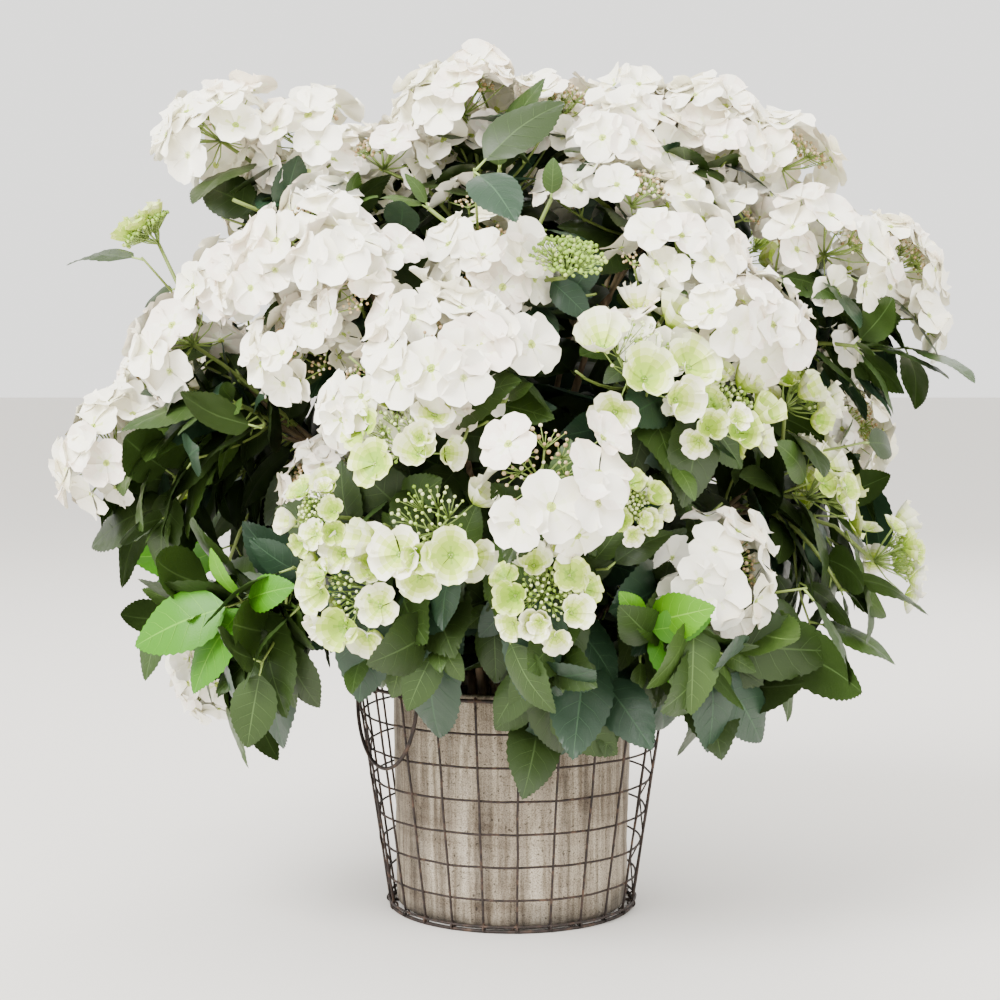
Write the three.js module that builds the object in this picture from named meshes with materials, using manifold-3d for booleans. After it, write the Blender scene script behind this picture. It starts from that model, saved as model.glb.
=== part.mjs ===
// A white lacecap hydrangea in a pale cast pot, which stands in a wire basket with two drop handles.
// Millimetres, +Z up. The origin is the middle of the basket's flat underside, and -Y is the side seen first.
import * as THREE from "three";
import { mergeVertices } from "three/addons/utils/BufferGeometryUtils.js";
import Module from "manifold-3d";

const GAP = 0.3; // clearance between pieces that rest on each other
const SLIVERS = { wire: 0.04, mass: 0.5 }; // how far a join's surface may move where it is cleaned up

// Wire basket: a cone of uprights and hoops on a flat floor
const RIM_RADIUS = 125;
const FOOT_RADIUS = 98;
const RIM_HEIGHT = 183; // of the rim wire's centre
const UPRIGHT_COUNT = 24;
const HOOP_ROWS = 7;
const BASKET_TURN = 2; // degrees that the first upright stands past +X
const RIM_WIRE = 1.9; // wire radii
const FOOT_WIRE = 1.6;
const UPRIGHT_WIRE = 1.2;
const HOOP_WIRE = 1.1;
const FLOOR_WIRE = 1.3;
const FLOOR_OFFSET = 46; // of the floor's outer wires from its middle

// Drop handles: half-ellipse bails with a round eye at each end, on the rim wire
const HANDLE_BEARINGS = { handle_left: 212, handle_right: 32 };
const HANDLE_HALF_SPAN = 22.5; // degrees of the rim, to the middle of an open bay
const HANDLE_WIRE = 1.9;
const HANDLE_DROP = 62;
const HANDLE_LEAN = 4.5; // degrees from upright, where the bail rests on the wall
const EYE_RADIUS = 5.4;
const SWING_ROOM = 6; // that leaves keep outside the rim and the way of the handles
const RIM_ROOM = 9; // and above the rim

// Pot and potting soil
const POT_TOP = 182;
const POT_RADIUS = 96;
const POT_FOOT_RADIUS = 93;
const POT_WALL = 8;
const POT_FLOOR = 9;
const SOIL_TOP = 165;
const POT_SIDES = 28;
const POT_EDGE = { foot: [3, 4], outer: [1.5, 4], inner: [1, 3] }; // each edge's cut, across and down

// Canes and twigs
const CANE_RINGS = { inner: 14, middle: 31, outer: 48 }; // where the canes stand, from the pot's middle
const CANE_FOOT_RADIUS = 3.8;
const CANE_TIP_RADIUS = 2.6;
const CANE_FLARE = 1.5; // more at the soil
const CANE_SHARE = 0.5; // of the way to a mass's hub, where its cane ends
const CANE_KNEE = { reach: 0.22, rise: 0.72, least: 62 };
const CANE_STEPS = 4;
const CANE_COLLAR = 0.06; // of the line, where the flare ends
const HEART = new THREE.Vector3(0, 0, 330); // the middle of the crown, which every shoot grows away from
const HUB_SHARE = 0.3; // how far a mass's hub lies back from its shoots towards the heart
const STEM_START = 3; // of a mass's stem, in line with the end of its cane
const STEM_TIP_RADIUS = 2.2;
const TWIG_FOOT_RADIUS = 2.1;
const TWIG_TIP_RADIUS = 1.5;
const TWIG_SIDES = 3;
const TWIG_FEET = { first: 0.35, range: 0.6 }; // along the stem
const TWIG_BEND = 0.45; // how far a twig keeps the stem's way, as a share of its length
const FACING_LIFT = 0.4; // how far a shoot turns up from straight out of the crown
const NODE_HALF = 2.5; // half the length of twig that a leaf's foot takes

// Leaves and flower heads
const LEAF = { length: 92, widest: 0.45, arch: 0.035, droop: 0.13, thickness: 0.03 }; // mm, then shares of it
const LEAF_ASPECT = 0.54;
const LEAF_WAY = { along: 0.45, out: 0.9, up: -0.25 }; // how a leaf leaves its twig
const LEAF_RANGE = { least: 0.85, more: 0.3 }; // of the length
const LEAST_FACING = 0.3; // mm that a twig's side stands out towards a leaf that it may bear
const SPACE_MARGIN = 2.5; // that a mass keeps from the next one's space
const LIMB_MARGIN = 1.2;

// The crown's masses, by the shoots that the photograph shows, and by the same habit where it shows none.
// A bloom is [x, y, z, radius, age], and a tip, the end of a leafy shoot, [x, y, z].
const MASSES = {
  crown_left: {
    ring: "inner", seed: 41,
    blooms: [[-233, -60, 624, 56, "open"], [-163, -52, 620, 56, "open"], [-200, 20, 572, 48, "open"]],
    tips: [[-208, -105, 556], [-120, -88, 552]],
  },
  crown_middle: {
    ring: "inner", seed: 22,
    blooms: [
      [-104, -50, 602, 48, "open"], [-40, -45, 648, 56, "open"], [38, -22, 644, 50, "open"],
      [4, 34, 640, 44, "open"],
    ],
    tips: [[-10, -85, 580]],
  },
  crown_right: {
    ring: "inner", seed: 23,
    blooms: [
      [96, -48, 626, 56, "open"], [160, -25, 632, 58, "open"], [222, -22, 606, 56, "open"],
      [92, -122, 568, 48, "open"], [168, 38, 590, 46, "open"],
    ],
    tips: [[48, -92, 566]],
  },
  shoulder_right: {
    ring: "middle", seed: 24,
    blooms: [[252, -68, 536, 60, "open"], [312, -8, 524, 52, "open"], [285, 42, 455, 40, "open"]],
    tips: [[262, -62, 448]],
  },
  upper_left: {
    ring: "middle", seed: 25,
    blooms: [
      [-158, -142, 535, 58, "open"], [-216, -112, 512, 46, "open"], [-112, -170, 508, 48, "open"],
      [-158, -172, 456, 46, "open"],
    ],
    tips: [[-118, -120, 470]],
  },
  side_left: {
    ring: "middle", seed: 26,
    blooms: [
      [-258, -82, 464, 56, "open"], [-326, -60, 377, 55, "open"], [-244, 4, 372, 42, "young"],
      [-284, -25, 537, 28, "bud"],
    ],
    tips: [[-206, -112, 405], [-262, -70, 318]],
  },
  front_left: {
    ring: "outer", seed: 7,
    blooms: [[-50, -228, 450, 60, "open"], [-106, -210, 420, 46, "open"], [-78, -238, 384, 46, "young"]],
    tips: [[-6, -215, 408]],
  },
  upper_middle: {
    ring: "middle", seed: 68,
    blooms: [[-17, -150, 522, 54, "open"], [38, -190, 506, 34, "bud"]],
    tips: [[28, -120, 555], [-62, -128, 548]],
  },
  front_right: {
    ring: "middle", seed: 49,
    blooms: [
      [88, -208, 440, 60, "young"], [130, -142, 528, 54, "open"], [182, -148, 475, 54, "open"],
      [150, -188, 402, 42, "young"],
    ],
    tips: [[112, -190, 365]],
  },
  front_middle: {
    ring: "outer", seed: 350,
    blooms: [[20, -268, 366, 64, "open"], [80, -225, 336, 28, "young"], [20, -255, 277, 38, "young"]],
    tips: [[24, -205, 232], [66, -158, 196], [-14, -168, 262]],
  },
  low_front_left: {
    ring: "outer", seed: 91,
    blooms: [
      [-57, -248, 326, 52, "young"], [-108, -212, 277, 46, "young"], [-137, -195, 330, 32, "young"],
      [-152, -125, 352, 38, "open"],
    ],
    tips: [[-52, -205, 240], [-100, -160, 232], [-56, -150, 270]],
  },
  low_front_right: {
    ring: "outer", seed: 52,
    blooms: [[158, -178, 289, 54, "open"]],
    tips: [[92, -200, 246], [148, -165, 226], [198, -118, 218], [94, -132, 218]],
  },
  side_right: {
    ring: "outer", seed: 33,
    blooms: [[244, -62, 338, 46, "young"], [302, -28, 283, 42, "young"], [217, -92, 410, 38, "young"]],
    tips: [[252, -72, 262]],
  },
  low_left: {
    ring: "outer", seed: 34,
    blooms: [[-251, -42, 196, 46, "open"]],
    tips: [[-196, -160, 262], [-172, -138, 228], [-228, -96, 262]],
  },
  back_crown_left: {
    ring: "inner", seed: 115,
    blooms: [[-142, 56, 606, 54, "open"], [-68, 92, 612, 52, "open"], [-182, 126, 530, 50, "open"]],
    tips: [[-118, 130, 555], [-56, 140, 560]],
  },
  back_crown_right: {
    ring: "inner", seed: 56,
    blooms: [[40, 84, 626, 54, "open"], [118, 84, 602, 54, "open"], [196, 96, 540, 52, "young"]],
    tips: [[82, 140, 545], [16, 146, 560]],
  },
  back_left: {
    ring: "middle", seed: 97,
    blooms: [[-298, 62, 432, 50, "open"], [-232, 142, 438, 54, "open"], [-256, 112, 340, 44, "young"]],
    tips: [[-196, 150, 365], [-240, 96, 268]],
  },
  back_right: {
    ring: "middle", seed: 58,
    blooms: [[296, 106, 392, 50, "open"], [222, 152, 452, 54, "open"], [238, 138, 340, 46, "young"]],
    tips: [[262, 62, 320], [222, 130, 262]],
  },
  back_middle: {
    ring: "middle", seed: 79,
    blooms: [
      [-62, 208, 500, 56, "open"], [52, 212, 482, 56, "open"], [-2, 258, 398, 54, "open"],
      [-104, 236, 404, 46, "young"], [104, 238, 396, 46, "open"],
    ],
    tips: [[-2, 235, 452]],
  },
  low_back: {
    ring: "outer", seed: 100,
    blooms: [[-118, 205, 292, 48, "open"], [16, 248, 298, 44, "young"], [136, 198, 292, 50, "open"]],
    tips: [[-48, 205, 232], [76, 205, 232], [-150, 150, 232], [0, 142, 218]],
  },
};

// How a flower head of each age is made: its outer florets, and how far they droop as a share of its radius
const AGES = {
  open: { florets: 5, droop: 0.14 },
  young: { florets: 5, droop: 0.02 },
  bud: { florets: 5, droop: 0 },
};
const DOME = { radius: 0.6, shoulder: 0.16, top: 0.38, depth: 0.4 }; // shares of the head's radius
const COLLAR_RADIUS = 0.04; // where the head meets its twig
const FLORET_RANGE = { smaller: 0.12, least: 0.7, more: 0.6 }; // how florets differ, in size and in droop
const PETALS = [
  { off: -0.36, out: 0.88, low: 0.6 }, { off: 0, out: 1, low: 1 }, { off: 0.36, out: 0.88, low: 0.6 },
]; // the corners of an outer floret: round the head by shares of its place, outwards, and down
const NODES = { open: [0.55, 0.8], young: [0.55, 0.8], bud: [0.6], tip: [0.58, 0.93] }; // along a shoot
const LEAF_SIZES = { open: 1, young: 1, bud: 0.6, tip: 1 };
const LEAF_TRIES = [
  [0, 1], [24, 1], [-24, 1], [48, 1], [-48, 1], [0, 0.78], [24, 0.78], [-24, 0.78], [48, 0.78], [-48, 0.78],
]; // degrees round the twig, and share of the length

const COLOURS = {
  wire: [0x4a4038, 0.55, 0.8],
  pot: [0xb3aa9a, 0.9, 0],
  soil: [0x2e2319, 1, 0],
  cane: [0x6d5a40, 0.85, 0],
  mass: [0x55703c, 0.7, 0],
};

const wasm = await Module();
wasm.setup();

const plant = new THREE.Group();
plant.name = "potted_hydrangea";

const radians = THREE.MathUtils.degToRad;
const UP = new THREE.Vector3(0, 0, 1);

// Adds a named mesh in its own material.
function add(name, geometry, finish) {
  const [color, roughness, metalness] = COLOURS[finish];
  const mesh = new THREE.Mesh(geometry, new THREE.MeshStandardMaterial({ color, roughness, metalness }));
  mesh.name = name;
  plant.add(mesh);
  return mesh;
}

// A point on a circle of the given radius about the upright axis.
function around(radius, bearing, z) {
  return new THREE.Vector3(radius * Math.cos(radians(bearing)), radius * Math.sin(radians(bearing)), z);
}

// A small seeded generator, so that the plant is the same each time.
function seeded(seed) {
  const modulus = 2147483647;
  let state = 7919 * seed + 101;
  const next = () => {
    state = (state * 48271) % modulus;
    return state / modulus;
  };
  for (let i = 0; i < 3; i += 1) next();
  return next;
}

// A closed surface of revolution about the upright axis, from [radius, height] pairs.
function turned(profile, sides, turn = 0) {
  const geometry = new THREE.LatheGeometry(profile.map(([r, z]) => new THREE.Vector2(r, z)), sides);
  return geometry.rotateX(Math.PI / 2).rotateZ(radians(turn));
}

// A wire ring whose section has the given corners. One of four stands on a corner, one of six on a flat.
function wireRing(radius, z, wire, sides, turn = 0, corners = 6) {
  const profile = [];
  for (let i = 0; i <= corners; i += 1) {
    const angle = (2 * Math.PI * i) / corners;
    profile.push([radius + wire * Math.cos(angle), z + wire * Math.sin(angle)]);
  }
  return turned(profile, sides, turn);
}

// The rings of a tube through the points, in a frame that turns as little as it can. A ring starts
// half a side round from the level direction, or at it where a flat side is wanted downwards.
function ringsOf(points, radii, sides, flat = false) {
  const level = new THREE.Vector3();
  return points.map((point, i) => {
    const before = points[Math.max(i - 1, 0)];
    const after = points[Math.min(i + 1, points.length - 1)];
    const along = after.clone().sub(before).normalize();
    if (i === 0) level.crossVectors(Math.abs(along.z) > 0.9 ? new THREE.Vector3(1, 0, 0) : UP, along);
    level.addScaledVector(along, -level.dot(along)).normalize();
    const other = new THREE.Vector3().crossVectors(along, level);
    const ring = [];
    for (let k = 0; k < sides; k += 1) {
      const angle = (2 * Math.PI * (k + (flat ? 0 : 0.5))) / sides;
      ring.push(
        point.clone()
          .addScaledVector(level, radii[i] * Math.cos(angle))
          .addScaledVector(other, radii[i] * Math.sin(angle)),
      );
    }
    return ring;
  });
}

// A closed tube through the points, tapered by the radii.
function tube(points, radii, sides, flat = false) {
  const rings = ringsOf(points, radii, sides, flat);
  const last = (rings.length - 1) * sides;
  const faces = [];
  for (let a = 0; a < last; a += sides) {
    for (let k = 0; k < sides; k += 1) {
      const next = (k + 1) % sides;
      faces.push([a + k, a + next, a + next + sides], [a + k, a + next + sides, a + k + sides]);
    }
  }
  for (let k = 1; k + 1 < sides; k += 1) {
    faces.push([0, k + 1, k], [last, last + k, last + k + 1]);
  }
  return faceted(rings.flat(), faces);
}

function faceted(vertices, faces) {
  const geometry = new THREE.BufferGeometry().setFromPoints(vertices);
  return geometry.setIndex(faces.flat());
}

// A three.js geometry as a solid, and a solid as a geometry.
function solidOf(geometry) {
  const bare = geometry.clone();
  bare.deleteAttribute("normal");
  bare.deleteAttribute("uv");
  const merged = mergeVertices(bare, 1e-3);
  return new wasm.Manifold(
    new wasm.Mesh({
      numProp: 3,
      vertProperties: new Float32Array(merged.attributes.position.array),
      triVerts: new Uint32Array(merged.index.array),
    }),
  );
}

function boxOf(solid) {
  const { min, max } = solid.boundingBox();
  return new THREE.Box3(new THREE.Vector3(...min), new THREE.Vector3(...max));
}

// Joins the geometries into one body, and closes up the slivers that the joining leaves. Loose scraps
// and hollows that it seals are left out.
function fused(geometries, sliver) {
  const joined = wasm.Manifold.union(geometries.map(solidOf)).asOriginal().simplify(sliver);
  const body = joined.decompose().reduce((a, b) => (b.volume() > a.volume() ? b : a));
  const mesh = body.getMesh();
  const positions = [];
  for (let i = 0; i < mesh.numVert; i += 1) {
    positions.push(...mesh.vertProperties.slice(i * mesh.numProp, i * mesh.numProp + 3));
  }
  const geometry = new THREE.BufferGeometry();
  geometry.setAttribute("position", new THREE.Float32BufferAttribute(positions, 3));
  return geometry.setIndex([...mesh.triVerts]);
}

// Wire basket

function wallRadius(z) {
  return FOOT_RADIUS + ((RIM_RADIUS - FOOT_RADIUS) * z) / RIM_HEIGHT;
}

function basketCage() {
  const flatHalf = Math.cos(radians(30)); // from a hexagon's middle to its flat side
  const footHeight = FOOT_WIRE * flatHalf;
  const pieces = [
    wireRing(RIM_RADIUS, RIM_HEIGHT, RIM_WIRE, UPRIGHT_COUNT, BASKET_TURN),
    wireRing(FOOT_RADIUS, footHeight, FOOT_WIRE, UPRIGHT_COUNT, BASKET_TURN),
  ];
  for (let i = 0; i < UPRIGHT_COUNT; i += 1) {
    const bearing = BASKET_TURN + (360 * i) / UPRIGHT_COUNT;
    const ends = [around(FOOT_RADIUS, bearing, footHeight), around(RIM_RADIUS, bearing, RIM_HEIGHT)];
    pieces.push(tube(ends, [UPRIGHT_WIRE, UPRIGHT_WIRE], 4));
  }
  const floorHeight = FLOOR_WIRE * flatHalf;
  const floorWire = (from, to) => {
    const ends = [from, to].map(([x, y]) => new THREE.Vector3(x, y, floorHeight));
    pieces.push(tube(ends, [FLOOR_WIRE, FLOOR_WIRE], 6, true));
  };
  floorWire([-FOOT_RADIUS, 0], [FOOT_RADIUS, 0]);
  for (const offset of [-FLOOR_OFFSET, 0, FLOOR_OFFSET]) {
    const half = Math.sqrt(FOOT_RADIUS ** 2 - offset ** 2);
    floorWire([offset, -half], [offset, half]);
  }
  return fused(pieces, SLIVERS.wire);
}

function basketHoop(row) {
  const z = (RIM_HEIGHT * row) / HOOP_ROWS;
  const radius = wallRadius(z) - UPRIGHT_WIRE - HOOP_WIRE - GAP;
  return wireRing(radius, z, HOOP_WIRE, UPRIGHT_COUNT, BASKET_TURN, 4);
}

function dropHandle(bearing) {
  const outward = around(1, bearing, 0);
  const across = around(1, bearing + 90, 0);
  const down = new THREE.Vector3(0, 0, -Math.cos(radians(HANDLE_LEAN)));
  down.addScaledVector(outward, Math.sin(radians(HANDLE_LEAN)));
  const bayRadius = RIM_RADIUS * Math.cos(Math.PI / UPRIGHT_COUNT); // of the rim's straight wires
  const middle = around(bayRadius * Math.cos(radians(HANDLE_HALF_SPAN)), bearing, RIM_HEIGHT);
  const half = bayRadius * Math.sin(radians(HANDLE_HALF_SPAN));
  const bail = [];
  const steps = 12;
  for (let i = 0; i <= steps; i += 1) {
    const angle = (Math.PI * i) / steps;
    bail.push(
      middle.clone()
        .addScaledVector(across, half * Math.cos(angle))
        .addScaledVector(down, EYE_RADIUS + (HANDLE_DROP - EYE_RADIUS) * Math.sin(angle)),
    );
  }
  const pieces = [tube(bail, bail.map(() => HANDLE_WIRE), 5)];
  for (const side of [-1, 1]) {
    const eye = wireRing(EYE_RADIUS, 0, HANDLE_WIRE, 10, 0, 5);
    eye.rotateY(Math.PI / 2).rotateZ(radians(bearing + 90));
    const place = middle.clone().addScaledVector(across, side * half);
    pieces.push(eye.translate(place.x, place.y, place.z));
  }
  return fused(pieces, SLIVERS.wire);
}

// Pot and soil

const potFoot = 2 * FLOOR_WIRE * Math.cos(radians(30)) + GAP;

function castPot() {
  const inner = POT_RADIUS - POT_WALL;
  const innerFoot = POT_FOOT_RADIUS - POT_WALL;
  const edge = POT_EDGE;
  return turned([
    [0, potFoot], [POT_FOOT_RADIUS - edge.foot[0], potFoot], [POT_FOOT_RADIUS, potFoot + edge.foot[1]],
    [POT_RADIUS, POT_TOP - edge.outer[1]], [POT_RADIUS - edge.outer[0], POT_TOP],
    [inner + edge.inner[0], POT_TOP], [inner, POT_TOP - edge.inner[1]],
    [innerFoot, potFoot + POT_FLOOR], [0, potFoot + POT_FLOOR],
  ], POT_SIDES);
}

function pottingSoil() {
  const foot = potFoot + POT_FLOOR + GAP;
  const clear = 2 * GAP;
  const innerAt = (z) => {
    const share = (z - potFoot - POT_FLOOR) / (POT_TOP - POT_EDGE.inner[1] - potFoot - POT_FLOOR);
    return POT_FOOT_RADIUS - POT_WALL + share * (POT_RADIUS - POT_FOOT_RADIUS) - clear;
  };
  return turned([[0, foot], [innerAt(foot), foot], [innerAt(SOIL_TOP), SOIL_TOP], [0, SOIL_TOP]], POT_SIDES);
}

// Plant

// The line of a mass's cane and stem, from the soil to its hub.
function lineOf(mass) {
  const ends = [...mass.blooms, ...mass.tips].map(([x, y, z]) => new THREE.Vector3(x, y, z));
  const hub = ends.reduce((sum, end) => sum.add(end), new THREE.Vector3()).divideScalar(ends.length);
  hub.lerp(HEART, HUB_SHARE);
  const bearing = THREE.MathUtils.radToDeg(Math.atan2(hub.y, hub.x));
  const ring = CANE_RINGS[mass.ring];
  const foot = around(ring, bearing, SOIL_TOP + GAP);
  const reach = Math.hypot(hub.x, hub.y) - ring;
  const rise = Math.max(CANE_KNEE.rise * (hub.z - foot.z), CANE_KNEE.least);
  const knee = around(ring + CANE_KNEE.reach * reach, bearing, foot.z + rise);
  return new THREE.QuadraticBezierCurve3(foot, knee, hub);
}

function pointsOf(curve, from, to, steps) {
  const points = [];
  for (let i = 0; i <= steps; i += 1) points.push(curve.getPoint(from + ((to - from) * i) / steps));
  return points;
}

// A cane: round at a flat foot, flared at the soil, and tapering to where it enters its mass.
function caneOf(line) {
  const points = pointsOf(line, 0, CANE_SHARE, CANE_STEPS);
  points[1] = line.getPoint(CANE_COLLAR).setX(points[0].x).setY(points[0].y);
  const radii = points.map((_, i) => {
    const thin = CANE_FOOT_RADIUS + ((CANE_TIP_RADIUS - CANE_FOOT_RADIUS) * i) / CANE_STEPS;
    return i === 0 ? thin + CANE_FLARE : thin;
  });
  return { points, radii };
}

// The twigs of a mass. Each leaves the stem along its line and bends to its own end.
function twigsOf(mass, line) {
  const ends = [...mass.blooms.map((b) => ({ at: b, bloom: b })), ...mass.tips.map((t) => ({ at: t }))];
  return ends.map(({ at, bloom }, i) => {
    const along = TWIG_FEET.first + (TWIG_FEET.range * (i + 0.5)) / ends.length;
    const share = CANE_SHARE + (1 - CANE_SHARE) * along;
    const start = line.getPoint(share);
    const end = new THREE.Vector3(at[0], at[1], at[2]);
    const bend = start.clone().addScaledVector(line.getTangent(share), TWIG_BEND * start.distanceTo(end));
    const curve = new THREE.QuadraticBezierCurve3(start, bend, end);
    const habit = bloom ? bloom[4] : "tip";
    return { curve, bloom, places: NODES[habit], size: LEAF_SIZES[habit], points: pointsOf(curve, 0, 1, 3) };
  });
}

// The way a shoot's end faces: away from the heart, and a little upwards.
function facing(point) {
  return point.clone().sub(HEART).normalize().addScaledVector(UP, FACING_LIFT).normalize();
}

// A leaf from a point: its corners, and points all over it to test its room with.
function leafAt(point, along, face, length) {
  const out = face.clone().addScaledVector(along, -face.dot(along)).normalize();
  const side = new THREE.Vector3().crossVectors(out, along);
  const half = (LEAF_ASPECT * length) / 2;
  const at = (share, across, lift) => point.clone()
    .addScaledVector(along, share * length)
    .addScaledVector(side, across)
    .addScaledVector(out, lift * length);
  const { widest, arch, droop, thickness } = LEAF;
  const waist = [
    at(widest, half, 0), at(widest, 0, arch + thickness / 2),
    at(widest, -half, 0), at(widest, 0, arch - thickness / 2),
  ];
  const samples = [];
  for (let i = 3; i <= 10; i += 1) {
    const share = i / 10;
    const past = (share - widest) / (1 - widest);
    const wide = half * (past < 0 ? share / widest : 1 - past);
    const lift = past < 0 ? (arch * share) / widest : arch - (arch + droop) * past;
    for (const across of [-1, -0.5, 0, 0.5, 1]) samples.push(at(share, across * wide, lift));
  }
  return { waist, tip: at(1, 0, -droop), samples };
}

// Grows the leaf out of a twig's side, a loop of four corners, as part of the same surface.
function growLeaf(vertices, faces, loop, { waist, tip }) {
  const spread = (turn) => waist.reduce((sum, corner, k) => (
    sum + corner.distanceToSquared(vertices[loop[(k + turn) % 4]])
  ), 0);
  const turns = [0, 1, 2, 3];
  const turn = turns.reduce((a, b) => (spread(b) < spread(a) ? b : a));
  const base = vertices.length;
  vertices.push(...waist, tip);
  turns.forEach((k) => {
    const [here, there] = [loop[(k + turn) % 4], loop[(k + 1 + turn) % 4]];
    const [near, far] = [base + k, base + ((k + 1) % 4)];
    faces.push([here, there, far], [here, far, near], [near, far, base + 4]);
  });
}

// The rings of a twig: its foot, the two sides of each node that may bear leaves, and its end.
function twigRings({ curve, bloom, places }) {
  const length = curve.getLength();
  const stops = [0, ...places.flatMap((place) => [place - NODE_HALF / length, place + NODE_HALF / length])];
  const points = stops.map((stop) => curve.getPoint(stop));
  points.push(bloom ? collarOf(bloom) : curve.getPoint(1));
  const radii = points.map((_, i) => {
    return TWIG_FOOT_RADIUS + ((TWIG_TIP_RADIUS - TWIG_FOOT_RADIUS) * i) / (points.length - 1);
  });
  return ringsOf(points, radii, TWIG_SIDES).flat();
}

// The leaves of a twig: pairs at its nodes, each pair a quarter turn from the one below. A leaf that has
// no room where it would stand swings round the twig, or is smaller, and is left out where that fails.
function planLeaves({ curve, places, size }, rings, draw, hasRoom) {
  const grown = new Map();
  const turn = 2 * Math.PI * draw();
  places.forEach((place, pair) => {
    const point = curve.getPoint(place);
    const tangent = curve.getTangent(place);
    const first = new THREE.Vector3().crossVectors(tangent, facing(point)).normalize();
    const second = new THREE.Vector3().crossVectors(tangent, first);
    for (const half of [0, 1]) {
      const long = size * LEAF.length * (LEAF_RANGE.least + LEAF_RANGE.more * draw());
      for (const [swing, share] of LEAF_TRIES) {
        const angle = turn + Math.PI * (half + pair / 2) + radians(swing);
        const side = first.clone().multiplyScalar(Math.cos(angle)).addScaledVector(second, Math.sin(angle));
        const along = tangent.clone().multiplyScalar(LEAF_WAY.along);
        along.addScaledVector(side, LEAF_WAY.out).addScaledVector(UP, LEAF_WAY.up).normalize();
        const leaf = leafAt(point, along, facing(point), long * share);
        const row = 2 * pair + 1;
        const face = nearestSide(rings, row, point, side, grown);
        if (face !== null && hasRoom(leaf)) {
          grown.set(row * TWIG_SIDES + face, leaf);
          break;
        }
      }
    }
  });
  return grown;
}

// The free side of a twig's node that faces a leaf's way best, where one faces it at all.
function nearestSide(vertices, row, point, way, grown) {
  let best = null;
  let most = LEAST_FACING;
  for (let k = 0; k < TWIG_SIDES; k += 1) {
    const a = row * TWIG_SIDES + k;
    const b = row * TWIG_SIDES + ((k + 1) % TWIG_SIDES);
    const middle = vertices[a].clone().add(vertices[b + TWIG_SIDES]).multiplyScalar(0.5).sub(point);
    if (!grown.has(a) && middle.dot(way) > most) {
      most = middle.dot(way);
      best = k;
    }
  }
  return best;
}

function collarOf([x, y, z, radius]) {
  const centre = new THREE.Vector3(x, y, z);
  return centre.addScaledVector(facing(centre), -DOME.depth * radius);
}

// A shoot in one closed surface: its twig, the leaves grown on it, and where it flowers a head, whose
// underside narrows to the twig.
function shootOf(rings, head, grown) {
  const vertices = rings.map((vertex) => vertex.clone());
  const rows = vertices.length / TWIG_SIDES;
  const faces = [[0, 2, 1]];
  const collar = (rows - 1) * TWIG_SIDES;
  const collarAngles = [];
  if (head) {
    const start = head.angleOf(vertices[collar]);
    for (let k = 0; k < TWIG_SIDES; k += 1) collarAngles.push(start + (2 * Math.PI * k) / TWIG_SIDES);
    collarAngles.forEach((angle, k) => vertices[collar + k].copy(head.at(angle, COLLAR_RADIUS, -DOME.depth)));
  } else {
    faces.push([collar, collar + 1, collar + 2]);
  }
  for (let row = 0; row + 1 < rows; row += 1) {
    for (let k = 0; k < TWIG_SIDES; k += 1) {
      const a = row * TWIG_SIDES + k;
      const b = row * TWIG_SIDES + ((k + 1) % TWIG_SIDES);
      const leaf = grown.get(a);
      if (leaf) growLeaf(vertices, faces, [a, b, b + TWIG_SIDES, a + TWIG_SIDES], leaf);
      else faces.push([a, b, b + TWIG_SIDES], [a, b + TWIG_SIDES, a + TWIG_SIDES]);
    }
  }
  if (!head) return faceted(vertices, faces);
  const apex = vertices.push(head.at(0, 0, DOME.top)) - 1;
  const edge = head.edge.map(({ point, angle }) => ({ index: vertices.push(point) - 1, angle }));
  const nearestCollar = (angle) => {
    const apart = collarAngles.map((other) => Math.cos(angle - other));
    return collar + apart.indexOf(Math.max(...apart));
  };
  edge.forEach((corner, i) => {
    const next = edge[(i + 1) % edge.length];
    const here = nearestCollar(corner.angle);
    const there = nearestCollar(next.angle);
    faces.push([apex, corner.index, next.index], [here, next.index, corner.index]);
    if (here !== there) faces.push([here, there, next.index]);
  });
  return faceted(vertices, faces);
}

// The edge of a flower head: a low dome of buds, and on it a ring of large florets. A floret that has no
// room is left out, and the dome's edge shows there.
function headOf([x, y, z, radius, age], draw, hasRoom) {
  const centre = new THREE.Vector3(x, y, z);
  const axis = facing(centre);
  const first = new THREE.Vector3().crossVectors(UP, axis).normalize();
  const second = new THREE.Vector3().crossVectors(axis, first);
  const turn = 2 * Math.PI * draw();
  const { florets, droop } = AGES[age];
  const step = (2 * Math.PI) / florets;
  const at = (angle, out, up) => centre.clone()
    .addScaledVector(first, out * radius * Math.cos(turn + angle))
    .addScaledVector(second, out * radius * Math.sin(turn + angle))
    .addScaledVector(axis, up * radius);
  const edge = [];
  for (let i = 0; i < florets; i += 1) {
    edge.push({ point: at(i * step, DOME.radius, DOME.shoulder), angle: i * step });
    const size = 1 - FLORET_RANGE.smaller * draw();
    const dip = -droop * (FLORET_RANGE.least + FLORET_RANGE.more * draw());
    const petals = PETALS.map(({ off, out, low }) => {
      const angle = (i + 0.5 + off) * step;
      return { point: at(angle, out * size, low * dip), angle };
    });
    const samples = petals.flatMap(({ point }) => [point, point.clone().lerp(centre, 0.25)]);
    if (hasRoom(samples)) edge.push(...petals);
  }
  const angleOf = (point) => {
    const spoke = point.clone().sub(centre);
    return Math.atan2(spoke.dot(second), spoke.dot(first)) - turn;
  };
  return { at, edge, angleOf };
}

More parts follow.
